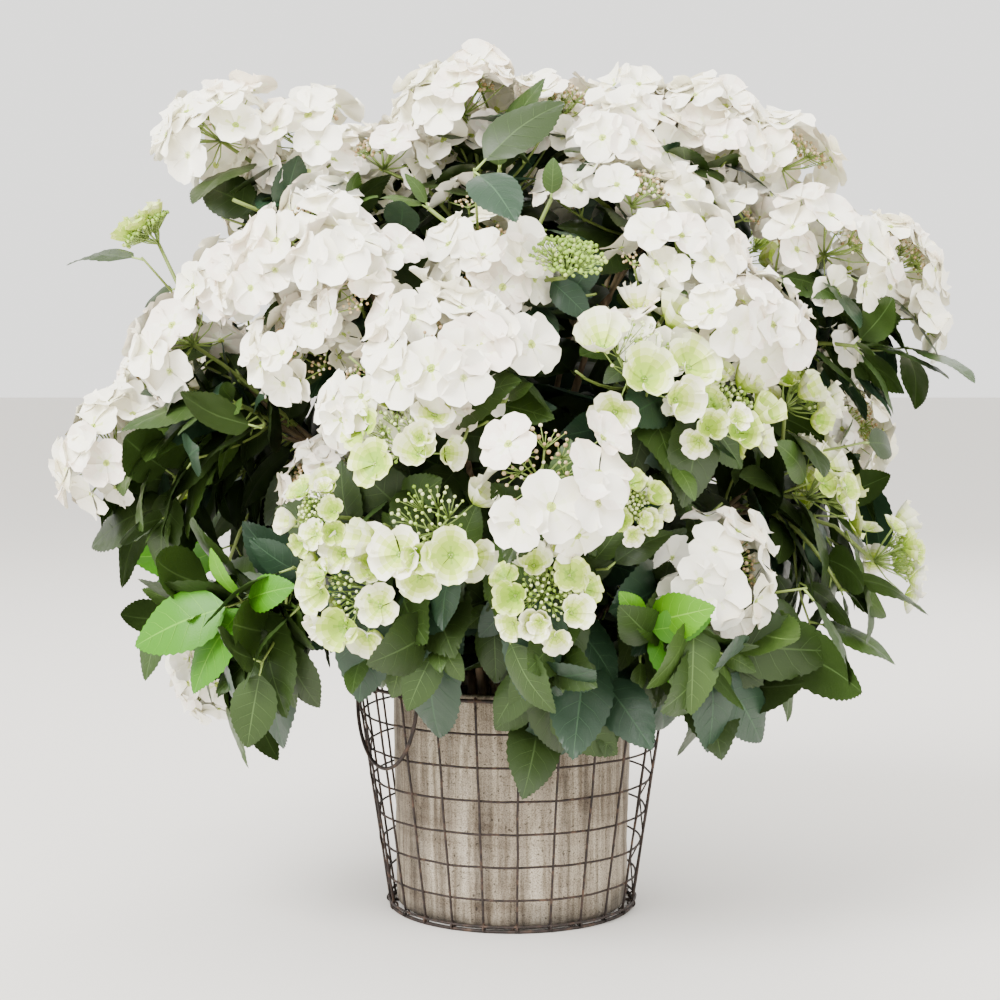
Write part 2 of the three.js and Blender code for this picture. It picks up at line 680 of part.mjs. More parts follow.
// Whether a point keeps clear of the pot, the basket and the way of the swinging handles.
function clearOfPlanter(point) {
  const least = RIM_HEIGHT + RIM_ROOM;
  if (Math.hypot(point.x, point.y) < RIM_RADIUS + SWING_ROOM) return point.z > least;
  const inTheWay = Object.values(HANDLE_BEARINGS).some((bearing) => {
    const out = point.x * Math.cos(radians(bearing)) + point.y * Math.sin(radians(bearing));
    const off = -point.x * Math.sin(radians(bearing)) + point.y * Math.cos(radians(bearing));
    return out > 0 && out < RIM_RADIUS + HANDLE_DROP + SWING_ROOM && Math.abs(off) < RIM_RADIUS / 2;
  });
  return !inTheWay || point.z > least;
}

const lines = {};
const canes = {};
const twigs = {};
for (const [name, mass] of Object.entries(MASSES)) {
  lines[name] = lineOf(mass);
  canes[name] = caneOf(lines[name]);
  twigs[name] = twigsOf(mass, lines[name]);
}
const stems = Object.fromEntries(Object.entries(lines).map(([name, line]) => {
  const [below, tip] = canes[name].points.slice(-2);
  const onwards = tip.clone().sub(below).normalize();
  const start = [GAP, GAP + STEM_START].map((far) => tip.clone().addScaledVector(onwards, far));
  return [name, [...start, ...pointsOf(line, CANE_SHARE, 1, 2).slice(1)]];
}));

// The places that each mass's space is reckoned from: its stem's, and its twigs' outer parts.
const sites = Object.fromEntries(Object.keys(MASSES).map((name) => {
  const outer = twigs[name].flatMap(({ curve }) => pointsOf(curve, 0.4, 1, 3));
  return [name, [...stems[name], ...outer]];
}));

function nearest(point, places) {
  return Math.min(...places.map((place) => place.distanceTo(point)));
}

// The distance from a point to a line through points.
function distanceTo(point, points) {
  const segment = new THREE.Line3();
  const closest = new THREE.Vector3();
  let least = Infinity;
  for (let i = 0; i + 1 < points.length; i += 1) {
    segment.set(points[i], points[i + 1]).closestPointToPoint(point, true, closest);
    least = Math.min(least, closest.distanceTo(point));
  }
  return least;
}

// Whether a leaf or floret stays in its mass's space, off the planter and off every other limb.
function fits(samples, name, own) {
  const ownLimbs = twigs[name].filter((twig) => twig !== own).map((twig) => twig.points);
  ownLimbs.push(stems[name]);
  return samples.every((point) => {
    if (ownLimbs.some((limb) => distanceTo(point, limb) < TWIG_FOOT_RADIUS)) return false;
    if (!clearOfPlanter(point)) return false;
    const reach = nearest(point, sites[name]);
    return Object.keys(MASSES).every((other) => {
      if (distanceTo(point, canes[other].points) < CANE_FOOT_RADIUS + LIMB_MARGIN) return false;
      if (other === name) return true;
      if (nearest(point, sites[other]) < reach + 2 * SPACE_MARGIN) return false;
      const limbs = [stems[other], ...twigs[other].map((twig) => twig.points)];
      return limbs.every((limb) => distanceTo(point, limb) > TWIG_FOOT_RADIUS + LIMB_MARGIN);
    });
  });
}

// A mass: its stem, twigs and heads, and then as many of its leaves as have room.
function massOf(name) {
  const stemRadii = [CANE_TIP_RADIUS, CANE_TIP_RADIUS, CANE_TIP_RADIUS, STEM_TIP_RADIUS];
  const stem = tube(stems[name], stemRadii, 4);
  const shoots = twigs[name].map((twig, i) => {
    const draw = seeded(100 * MASSES[name].seed + i);
    const head = twig.bloom && headOf(twig.bloom, draw, (samples) => fits(samples, name, twig));
    return { twig, draw, head, rings: twigRings(twig) };
  });
  const bare = shoots.map(({ rings, head }) => solidOf(shootOf(rings, head, new Map())));
  const taken = [solidOf(stem), ...bare].map((solid) => ({ solid, box: boxOf(solid) }));
  const grown = shoots.map(({ twig, draw, rings }) => planLeaves(twig, rings, draw, (leaf) => {
    if (!fits(leaf.samples, name, twig)) return false;
    const corners = [leaf.samples[2], ...leaf.waist, leaf.tip];
    const blade = wasm.Manifold.hull(corners.map((corner) => corner.toArray()));
    const box = boxOf(blade);
    const near = taken.filter((other) => other.box.intersectsBox(box));
    if (near.some(({ solid }) => !solid.intersect(blade).isEmpty())) return false;
    taken.push({ solid: blade, box });
    return true;
  }));
  return fused([stem, ...shoots.map(({ rings, head }, i) => shootOf(rings, head, grown[i]))], SLIVERS.mass);
}

add("cast_pot", castPot(), "pot");
add("potting_soil", pottingSoil(), "soil");
add("basket_cage", basketCage(), "wire");
for (let row = 1; row < HOOP_ROWS; row += 1) add(`basket_hoop_${row}`, basketHoop(row), "wire");
for (const [name, bearing] of Object.entries(HANDLE_BEARINGS)) add(name, dropHandle(bearing), "wire");
Object.keys(MASSES).forEach((name) => {
  add(`cane_${name}`, tube(canes[name].points, canes[name].radii, 4), "cane");
  add(`foliage_${name}`, massOf(name), "mass");
});

export default plant;
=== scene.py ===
import math
from itertools import combinations

import bpy
import numpy as np
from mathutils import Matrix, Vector, noise


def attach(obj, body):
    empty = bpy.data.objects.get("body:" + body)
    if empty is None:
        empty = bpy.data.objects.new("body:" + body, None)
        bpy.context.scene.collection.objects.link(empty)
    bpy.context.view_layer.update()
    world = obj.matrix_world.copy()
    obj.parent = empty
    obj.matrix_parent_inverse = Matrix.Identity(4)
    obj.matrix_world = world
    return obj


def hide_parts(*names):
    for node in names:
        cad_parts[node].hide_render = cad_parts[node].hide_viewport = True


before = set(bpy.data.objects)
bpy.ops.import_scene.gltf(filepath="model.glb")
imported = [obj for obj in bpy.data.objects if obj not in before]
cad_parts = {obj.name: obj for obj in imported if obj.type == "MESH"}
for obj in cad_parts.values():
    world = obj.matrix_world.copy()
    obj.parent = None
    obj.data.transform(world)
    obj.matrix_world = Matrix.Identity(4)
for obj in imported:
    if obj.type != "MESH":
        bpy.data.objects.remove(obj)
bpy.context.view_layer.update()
noise.seed_set(1)  # else the wires' irregularities differ from run to run

MM = 0.001

# Camera
CAMERA_AT = (-9.6, -1634, 430)
CAMERA_PITCH = 3.65  # degrees down
CAMERA_LENS = 73.55

# Wire basket: a cone of uprights and hoops on a flat floor
RIM_RADIUS = 125
FOOT_RADIUS = 98
RIM_HEIGHT = 183
UPRIGHT_COUNT = 24
HOOP_ROWS = 7
BASKET_TURN = 2
RIM_WIRE = 1.5
FOOT_WIRE = 1.4
UPRIGHT_WIRE = 0.95
HOOP_WIRE = 0.9
FLOOR_WIRE = 1.3
FLOOR_OFFSET = 46
LACING_WIRE = 0.7
LACED_BAYS = (0, 11, 12, 23)  # bays that are laced shut, counted from the first upright

# Drop handles
HANDLE_BEARINGS = {"handle_left": 212, "handle_right": 32}
HANDLE_HALF_SPAN = 22.5
HANDLE_WIRE = 1.5
HANDLE_DROP = 62
HANDLE_LEAN = 4.5
EYE_RADIUS = 5.4
SWING_ROOM = 6
RIM_ROOM = 9

# Pot and potting soil
POT_TOP = 182
POT_RADIUS = 96
POT_FOOT_RADIUS = 93
POT_WALL = 8
POT_FLOOR = 9
POT_FOOT = 2.55
POT_SIDES = 144
SOIL_SIDES = 96
SOIL_TOP = 165

# Canes and twigs
CANE_RINGS = {"inner": 14, "middle": 31, "outer": 48}
CANE_FOOT_RADIUS = 3.8
CANE_TIP_RADIUS = 2.6
CANE_FLARE = 1.5
CANE_SHARE = 0.5
CANE_KNEE = {"reach": 0.22, "rise": 0.72, "least": 62}
HEART = np.array([0.0, 0.0, 330.0])
HUB_SHARE = 0.3
STEM_TIP_RADIUS = 2.2
TWIG_FOOT_RADIUS = 2.1
TWIG_TIP_RADIUS = 1.5
TWIG_FEET = {"first": 0.35, "range": 0.6}
TWIG_BEND = 0.45
SIDE_TWIG = {"places": (0.38, 0.62), "least": 55, "more": 35, "swings": (0, 70, -70, 140)}
FACING_LIFT = 0.4
GAP = 0.3

# Leaves and flower heads
LEAF_LENGTH = 92
LEAF_ASPECT = 0.54
LEAF_WIDEST = 0.45
LEAF_ARCH = 0.035
LEAF_DROOP = 0.13
LEAF_WAY = {"along": 0.45, "out": 0.9, "up": -0.25}
LEAF_RANGE = {"least": 0.85, "more": 0.3}
SPACE_MARGIN = 2.5
LIMB_MARGIN = 1.2
DOME = {"shoulder": 0.16, "top": 0.38, "depth": 0.4}
FLORET_RANGE = {"smaller": 0.12, "least": 0.7, "more": 0.6}
FLORETS = 5
DROOP = {"open": 0.14, "young": 0.02, "bud": 0}
PETAL_CORNERS = [(-0.36, 0.88, 0.6), (0, 1, 1), (0.36, 0.88, 0.6)]
NODE_PLACES = {"open": (0.55, 0.8), "young": (0.55, 0.8), "bud": (0.6,), "tip": (0.58, 0.93)}
MORE_PLACES = {
    "open": (0.3, 0.43, 0.67, 0.9), "young": (0.3, 0.43, 0.67, 0.9), "bud": (0.35, 0.8),
    "tip": (0.33, 0.46, 0.7, 0.82, 0.22),
}
CANE_NODES = (0.14, 0.2, 0.27, 0.36, 0.45, 0.54, 0.63, 0.72, 0.82)
LEAF_SIZES = {"open": 1, "young": 1, "bud": 0.6, "tip": 1}
PETAL_MARGIN = -8  # petals of two masses may pass each other by this
GOLDEN_ANGLE = 2.399963
SHUT_HEAD = 30  # a head in bud that is larger than this bears no floret yet
# Which twig of a mass ends in lime-green leaves, and how large its last pair is
LIME_SHOOTS = {"low_left": (1, 1), "low_front_right": (1, 0.66), "low_back": (4, 1), "back_left": (4, 1)}
# How far the young leaves at a shoot's end lean out, and their share of a leaf's length
ROSETTE = ((1.05, 0.62), (1.05, 0.58), (0.42, 0.36), (0.42, 0.32))
LIME_ROSETTE = ((3.2, 0.98), (3.2, 0.6), (1.9, 0.64), (1.9, 0.5))
LIME_WAY = np.array([-1, 0, -0.4])  # the first lime-green leaf of a shoot points this way
MIDDLE_SAMPLE = 17  # which of a leaf's test points is about its middle
LEAF_SPREAD = {"rule": 10, "extra": 20, "cane": 15}  # how far apart the middles of leaves stay
LEAF_TILT = {"rule": 0.25, "extra": 0.8, "cane": 1.0}  # how far leaves turn off the way out
CROWN_HEIGHT = 430  # from here up the finer twigs flower too
SMALL_LEAVES = {"height": 490, "share": 0.8}  # twigs that end above this height bear smaller leaves
LIT = {"reach": 190, "height": 460}  # twigs that end further out and lower than this bear lighter leaves, painted light on the outer leaves
# How a leaf is tried: how far it swings round its twig, in degrees, and its share of its length
LEAF_TRIES = [
    (0, 1), (24, 1), (-24, 1), (48, 1), (-48, 1), (0, 0.78), (24, 0.78), (-24, 0.78), (48, 0.78), (-48, 0.78),
]

# A mass has its ring of canes, its seed and the ends of its twigs: first blooms, [x, y, z, radius, age], or
# without an age if they are open, then tips, the ends of leafy shoots, [x, y, z].
MASSES = {
    "crown_left": [
        "inner", 41, [-233, -60, 624, 56], [-163, -52, 620, 56], [-200, 20, 572, 48], [-208, -105, 556],
        [-120, -88, 552],
    ],
    "crown_middle": [
        "inner", 22, [-104, -50, 602, 48], [-40, -45, 648, 56], [38, -22, 644, 50], [4, 34, 640, 44],
        [-10, -85, 580],
    ],
    "crown_right": [
        "inner", 23, [96, -48, 626, 56], [160, -25, 632, 58], [222, -22, 606, 56], [92, -122, 568, 48],
        [168, 38, 590, 46], [48, -92, 566],
    ],
    "shoulder_right": [
        "middle", 24, [252, -68, 536, 60], [312, -8, 524, 52], [285, 42, 455, 40], [262, -62, 448],
    ],
    "upper_left": [
        "middle", 25, [-158, -142, 535, 58], [-216, -112, 512, 46], [-112, -170, 508, 48],
        [-158, -172, 456, 46], [-118, -120, 470],
    ],
    "side_left": [
        "middle", 26, [-258, -82, 464, 56], [-326, -60, 377, 55], [-244, 4, 372, 42, "young"],
        [-284, -25, 537, 28, "bud"], [-206, -112, 405], [-262, -70, 318],
    ],
    "front_left": [
        "outer", 7, [-50, -228, 450, 60], [-106, -210, 420, 46], [-78, -238, 384, 46, "young"],
        [-6, -215, 408],
    ],
    "upper_middle": [
        "middle", 68, [-17, -150, 522, 54], [38, -190, 506, 34, "bud"], [28, -120, 555], [-62, -128, 548],
    ],
    "front_right": [
        "middle", 49, [88, -208, 440, 60, "young"], [130, -142, 528, 54], [182, -148, 475, 54],
        [150, -188, 402, 42, "young"], [112, -190, 365],
    ],
    "front_middle": [
        "outer", 350, [20, -268, 366, 64], [80, -225, 336, 28, "young"], [20, -255, 277, 38, "young"],
        [24, -205, 232], [66, -158, 196], [-14, -168, 262],
    ],
    "low_front_left": [
        "outer", 91, [-57, -248, 326, 52, "young"], [-108, -212, 277, 46, "young"],
        [-137, -195, 330, 32, "young"], [-152, -125, 352, 38], [-52, -205, 240], [-100, -160, 232],
        [-56, -150, 270],
    ],
    "low_front_right": [
        "outer", 52, [158, -178, 289, 54], [92, -200, 246], [148, -165, 226], [198, -118, 218],
        [94, -132, 218],
    ],
    "side_right": [
        "outer", 33, [244, -62, 338, 46, "young"], [302, -28, 283, 42, "young"],
        [217, -92, 410, 38, "young"], [252, -72, 262],
    ],
    "low_left": [
        "outer", 34, [-251, -42, 196, 46], [-196, -160, 262], [-172, -138, 228], [-228, -96, 262],
    ],
    "back_crown_left": [
        "inner", 115, [-142, 56, 606, 54], [-68, 92, 612, 52], [-182, 126, 530, 50], [-118, 130, 555],
        [-56, 140, 560],
    ],
    "back_crown_right": [
        "inner", 56, [40, 84, 626, 54], [118, 84, 602, 54], [196, 96, 540, 52, "young"], [82, 140, 545],
        [16, 146, 560],
    ],
    "back_left": [
        "middle", 97, [-298, 62, 432, 50], [-232, 142, 438, 54], [-256, 112, 340, 44, "young"],
        [-196, 150, 365], [-240, 96, 268],
    ],
    "back_right": [
        "middle", 58, [296, 106, 392, 50], [222, 152, 452, 54], [238, 138, 340, 46, "young"], [262, 62, 320],
        [222, 130, 262],
    ],
    "back_middle": [
        "middle", 79, [-62, 208, 500, 56], [52, 212, 482, 56], [-2, 258, 398, 54],
        [-104, 236, 404, 46, "young"], [104, 238, 396, 46], [-2, 235, 452],
    ],
    "low_back": [
        "outer", 100, [-118, 205, 292, 48], [16, 248, 298, 44, "young"], [136, 198, 292, 50],
        [-48, 205, 232], [76, 205, 232], [-150, 150, 232], [0, 142, 218],
    ],
}

UP = np.array([0.0, 0.0, 1.0])
STEEP = 0.9  # a tube that starts steeper than this takes its first side from the x axis
WOBBLE_WAYS = np.array([1, 1, 0.6])


# Points and curves

def unit(v):
    return v / np.linalg.norm(v)


def around(radius, bearing, z):
    angle = math.radians(bearing)
    return np.array([radius * math.cos(angle), radius * math.sin(angle), z])


def bezier(curve, t):
    a, b, c = curve
    return (1 - t) ** 2 * a + 2 * t * (1 - t) * b + t ** 2 * c


def heading(curve, t):
    a, b, c = curve
    return unit((1 - t) * (b - a) + t * (c - b))


def bezier_points(curve, start, end, steps):
    return [bezier(curve, start + (end - start) * i / steps) for i in range(steps + 1)]


def facing(point):
    return unit(unit(point - HEART) + FACING_LIFT * UP)


def frame_at(curve, place):
    """A curve's point and heading at a place, and two ways square to that heading."""
    point, tangent = bezier(curve, place), heading(curve, place)
    first = unit(np.cross(tangent, facing(point)))
    return point, tangent, first, np.cross(tangent, first)


def square_to(axis):
    """Two ways square to an axis, the first one level."""
    first = unit(np.cross(UP, axis))
    return first, np.cross(axis, first)


def spoke(angle, first, second):
    """The way at an angle from the first of two ways towards the second."""
    return math.cos(angle) * first + math.sin(angle) * second


def seeded(seed):
    """A small seeded generator, the same as the part's."""
    modulus = 2147483647
    state = 7919 * seed + 101

    def draw():
        nonlocal state
        state = state * 48271 % modulus
        return state / modulus

    for _ in range(3):
        draw()
    return draw


# Meshes

def show(name, data):
    """A new object in the scene."""
    piece = bpy.data.objects.new(name, data)
    bpy.context.scene.collection.objects.link(piece)
    return piece


class Pile:
    """Triangles that are gathered for one piece, each with the number of its tint."""

    def __init__(self, *shapes):
        self.points, self.faces, self.tints, self.count = [], [], [], 0
        for shape in shapes:
            self.add(shape)

    def add(self, shape, tint=0):
        points, faces, tints = shape
        self.points.append(points)
        self.faces.append(faces + self.count)
        self.tints.append(np.broadcast_to(tints, len(faces)) + tint)
        self.count += len(points)

    def stamp(self, shape, at, axes, size, tint=0):
        points, faces, tints = shape
        self.add((at + size * (points @ np.array(axes)), faces, tints), tint)

    def make(self, name, materials, slot, nodes, body="planter"):
        mesh = bpy.data.meshes.new(name)
        points = np.vstack(self.points) * MM
        faces = np.vstack(self.faces)
        mesh.from_pydata(points.tolist(), [], faces.tolist())
        for material in materials:
            mesh.materials.append(material)
        mesh.polygons.foreach_set("material_index", np.concatenate(self.tints).astype(np.int32))
        mesh.polygons.foreach_set("use_smooth", np.ones(len(faces), bool))
        mesh.update()
        piece = show(name, mesh)
        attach(piece, body)
        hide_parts(*nodes)


def wall(rows, sides, closed=False):
    """The faces between rows of points that go round. Closed, the last row joins the first."""
    total = rows * sides
    starts, steps = np.arange(0, total if closed else total - sides, sides)[:, None], np.arange(sides)
    a, b = starts + steps, starts + (steps + 1) % sides
    c, d = (b + sides) % total, (a + sides) % total
    return np.stack([a, b, c, a, c, d], axis=-1).reshape(-1, 3)


def tube(points, radii, sides=8, closed=False, relief=0.0):
    """A round tube through the points, whose surface may be roughened along its length."""
    points = np.array(points, float)
    if closed:
        along = np.roll(points, -1, axis=0) - np.roll(points, 1, axis=0)
    else:
        along = np.gradient(points, axis=0)
    along /= np.linalg.norm(along, axis=1)[:, None]
    level = np.cross([1.0, 0, 0] if abs(along[0][2]) > STEEP else UP, along[0])
    angles = 2 * np.pi * np.arange(sides) / sides
    rings = []
    for point, way, radius in zip(points, along, np.broadcast_to(radii, len(points))):
        level = unit(level - way * level.dot(way))
        other = np.cross(way, level)
        spokes = np.cos(angles)[:, None] * level + np.sin(angles)[:, None] * other
        if relief:
            rough = [1 + relief * noise.noise(Vector((point + 4 * side) / 3)) for side in spokes]
            spokes = spokes * np.array(rough)[:, None]
        rings.append(point + radius * spokes)
    faces = wall(len(points), sides, closed)
    if not closed:
        last = (len(points) - 1) * sides
        ends = [[(0, k + 1, k), (last, last + k, last + k + 1)] for k in range(1, sides - 1)]
        faces = np.vstack([faces, *ends])
    return np.vstack(rings), faces, 0


def ring_points(radius, z, count, wobble=0.0):
    points = [around(radius, 360 * i / count, z) for i in range(count)]
    if wobble:
        roughs = [noise.noise_vector(Vector(point / 18)) for point in points]
        points = [point + wobble * (np.array(rough) * WOBBLE_WAYS) for point, rough in zip(points, roughs)]
    return points


def turned(profile, sides, relief=None):
    """A surface of revolution from [radius, height] pairs that start and end on the axis."""
    rows = []
    for radius, z in profile[1:-1]:
        rows.append([around(radius, 360 * k / sides, z) for k in range(sides)])
    points = np.array([around(0, 0, profile[0][1]), *np.vstack(rows), around(0, 0, profile[-1][1])])
    if relief:
        points = np.array([relief(point) for point in points])
    top = len(points) - 1
    last = top - sides
    bottom_fan = [(0, 1 + (k + 1) % sides, 1 + k) for k in range(sides)]
    top_fan = [(top, last + k, last + (k + 1) % sides) for k in range(sides)]
    return points, np.vstack([bottom_fan, wall(len(rows), sides) + 1, top_fan]), 0


def ball():
    """A small round bud of twenty faces."""
    golden = (1 + math.sqrt(5)) / 2
    corners = []
    for a in (-1, 1):
        for b in (-golden, golden):
            corners += [(0, a, b), (a, b, 0), (b, 0, a)]
    corners = np.array(corners, float)
    corners /= np.linalg.norm(corners[0])
    edge = 1.1  # two corners of one edge are this close at most
    faces = []
    for i, j, k in combinations(range(12), 3):
        a, b, c = corners[[i, j, k]]
        if max(np.linalg.norm([a - b, b - c, c - a], axis=1)) < edge:
            outward = np.cross(b - a, c - a) @ (a + b + c) > 0
            faces.append((i, j, k) if outward else (i, k, j))
    return corners, np.array(faces), 0


# Materials

def linear(colour):
    """A colour of six hex digits as Blender's linear values."""
    values = [int(colour[i:i + 2], 16) / 255 for i in (0, 2, 4)]
    return [v / 12.92 if v <= 0.04045 else ((v + 0.055) / 1.055) ** 2.4 for v in values] + [1]


class Finish:
    """A material, and the nodes that are added to it."""

    def __init__(self, name, roughness, metallic=0.0):
        self.material = bpy.data.materials.new(name)
        self.material.use_nodes = True
        self.nodes, self.links = self.material.node_tree.nodes, self.material.node_tree.links
        self.shader = self.nodes["Principled BSDF"]
        self.shader.inputs["Roughness"].default_value = roughness
        self.shader.inputs["Metallic"].default_value = metallic
        self.place = self.nodes.new("ShaderNodeTexCoord").outputs["Object"]

    def add(self, kind, **values):
        node = self.nodes.new(kind)
        for key, value in values.items():
            if hasattr(node, key):
                setattr(node, key, value)
            else:
                node.inputs[key.replace("_", " ")].default_value = value
        return node

    def grain(self, scale, detail, stretch=(1, 1, 1)):
        """A noise over the piece, with a scale in turns a metre."""
        mapping = self.add("ShaderNodeMapping", Scale=stretch)
        self.links.new(self.place, mapping.inputs["Vector"])
        texture = self.add("ShaderNodeTexNoise", Scale=scale, Detail=detail)
        self.links.new(mapping.outputs["Vector"], texture.inputs["Vector"])
        return texture.outputs["Fac"]

    def ramp(self, source, stops):
        """Colours dealt out by a value: pairs of place and colour."""
        ramp = self.add("ShaderNodeValToRGB")
        elements = ramp.color_ramp.elements
        while len(elements) < len(stops):
            elements.new(0.5)
        for element, (place, colour) in zip(elements, stops):
            element.position = place
            element.color = linear(colour)
        self.links.new(source, ramp.inputs["Fac"])
        return ramp.outputs["Color"]

    def mix(self, share, one, other, kind="MIX"):
        mix = self.nodes.new("ShaderNodeMix")
        mix.data_type = "RGBA"
        mix.blend_type = kind
        for socket, value in ((mix.inputs["Factor"], share), (mix.inputs[6], one), (mix.inputs[7], other)):
            if isinstance(value, bpy.types.NodeSocket):
                self.links.new(value, socket)
            else:
                socket.default_value = value
        return mix.outputs[2]

    def colour(self, source):
        if isinstance(source, str):
            self.shader.inputs["Base Color"].default_value = linear(source)
        else:
            self.links.new(source, self.shader.inputs["Base Color"])

    def bump(self, height, distance, strength):
        bump = self.add("ShaderNodeBump", Distance=distance, Strength=strength)
        self.links.new(height, bump.inputs["Height"])
        self.links.new(bump.outputs["Normal"], self.shader.inputs["Normal"])


def pot_finish():
    """Pale cast stone with streaks, board marks, grit, specks and a dark foot, which is painted shade."""
    finish = Finish("cast_stone", 0.9)

    def layer(grain, stops):
        return finish.ramp(finish.grain(*grain), stops)

    pale = [(0.36, "4e4235"), (0.46, "8a7b69"), (0.54, "b4a690"), (0.66, "d9ccb7")]
    streaks = layer((95, 5, (1, 1, 0.045)), pale)
    blotches = finish.grain(14, 5)
    stained = finish.mix(0.42, streaks, finish.ramp(blotches, [(0.38, "6c5f51"), (0.6, "cabda9")]))
    boards = layer((13, 3, (0.05, 0.05, 6)), [(0.42, "675948"), (0.55, "c9bea9")])
    colour = finish.mix(0.12, stained, boards)
    darker = (  # share, grain, dark stop and where the dark ends
        (0.6, (310, 4, (1, 1, 0.06)), (0.36, "8f8474"), 0.56), (0.6, (1000, 3), (0.38, "8c8274"), 0.54),
        (0.8, (420, 2), (0.3, "5a5046"), 0.37),
    )
    for share, grain, dark, end in darker:
        colour = finish.mix(share, colour, layer(grain, [dark, (end, "ffffff")]), "MULTIPLY")
    # Darker towards the bottom, with an uneven edge: painted shade at the pot's foot.
    height = finish.add("ShaderNodeSeparateXYZ")
    finish.links.new(finish.place, height.inputs[0])
    edge = finish.add("ShaderNodeMath", operation="MULTIPLY_ADD")
    finish.links.new(blotches, edge.inputs[0])
    edge.inputs[1].default_value = -0.05
    finish.links.new(height.outputs["Z"], edge.inputs[2])
    foot = finish.add("ShaderNodeMapRange", From_Min=-0.02, From_Max=-0.004, To_Min=0.3, To_Max=0.88)
    finish.links.new(edge.outputs[0], foot.inputs["Value"])
    finish.colour(finish.mix(1.0, colour, foot.outputs["Result"], "MULTIPLY"))
    finish.bump(finish.grain(180, 8), 0.0012, 0.6)
    return finish.material


def grained(name, roughness, metallic, grain, stops, relief, depth, strength):
    """A material whose colour follows one noise, and its relief the same or another."""
    finish = Finish(name, roughness, metallic)
    finish.colour(finish.ramp(finish.grain(*grain), stops))
    finish.bump(finish.grain(*relief), depth, strength)
    return finish.material


# What grained is given for the wires, the soil and the bark
WIRE = (
    "rusty_wire", 0.68, 0.35, (160, 5), [(0.38, "231c19"), (0.56, "352a25"), (0.7, "574234")],
    (900, 3), 0.0004, 0.5,
)
SOIL = (
    "potting_soil", 1.0, 0.0, (260, 6), [(0.35, "1c140e"), (0.52, "33261b"), (0.7, "54412f")],
    (420, 6), 0.002, 0.8,
)
BARK_STREAKS = (150, 5, (1, 1, 0.12))
BARK = (
    "cane_bark", 0.85, 0.0, BARK_STREAKS, [(0.3, "4b3a29"), (0.5, "75604a"), (0.7, "9a8467")],
    BARK_STREAKS, 0.0012, 0.7,
)


def plain(kind, colours, roughness, relief, coats=(), gloss=0.5):
    """Plain colours with a fine grain in relief, for what is dealt out leaf by leaf."""
    materials = []
    for i, colour in enumerate(colours):
        finish = Finish(f"{kind}_{i}", roughness)
        finish.colour(colour)
        finish.shader.inputs["Specular IOR Level"].default_value = gloss
        finish.shader.inputs["Coat Weight"].default_value = coats[i] if coats else 0.0
        finish.shader.inputs["Coat Roughness"].default_value = 0.3
        finish.bump(finish.grain(700, 3), relief, 0.5)
        materials.append(finish.material)
    return materials


# Tint 3 is blue-green, partly the leaves' own colour and partly a painted reflection of the pale sky on
# glossy leaves.
BLADES = ["283715", "283814", "2d4116", "243b27", "384f1c", "3f7a0c", "55900f"]
COATS = [0.0, 0.1, 0.0, 0.2, 0.05, 0.0, 0.0]  # how much clear coat each blade has
VEINS = ["3a4a29", "3f522a", "486030", "3c573d", "566f37", "5f9a24", "78ad34"]
YOUNG = 5  # the first of the young tints
PETAL_TINTS = ["fffbeb", "fbf8e2", "f3f5d2", "e4eca6", "ccdd6c", "b1cc42", "95b92a", "7fa520", "fbf1e2"]
BUD_TINTS = ["ccb48c", "b4966c", "e2d6ba", "b4c668", "8cac3c", "dbe5a6"]
TWIG_TINTS = ["6b5c3e", "75863f", "93ab58", "8c6a4a"]


# Basket

def wall_radius(z):
    return FOOT_RADIUS + (RIM_RADIUS - FOOT_RADIUS) * z / RIM_HEIGHT


def small_ring(centre, outward, radius, wire):
    """A little eye of wire round a hoop, in the upright plane through the axis."""
    angles = [2 * np.pi * i / 14 - np.pi / 2 for i in range(14)]
    points = [centre + radius * spoke(angle, outward, UP) for angle in angles]
    return tube(points, wire, 7, closed=True)


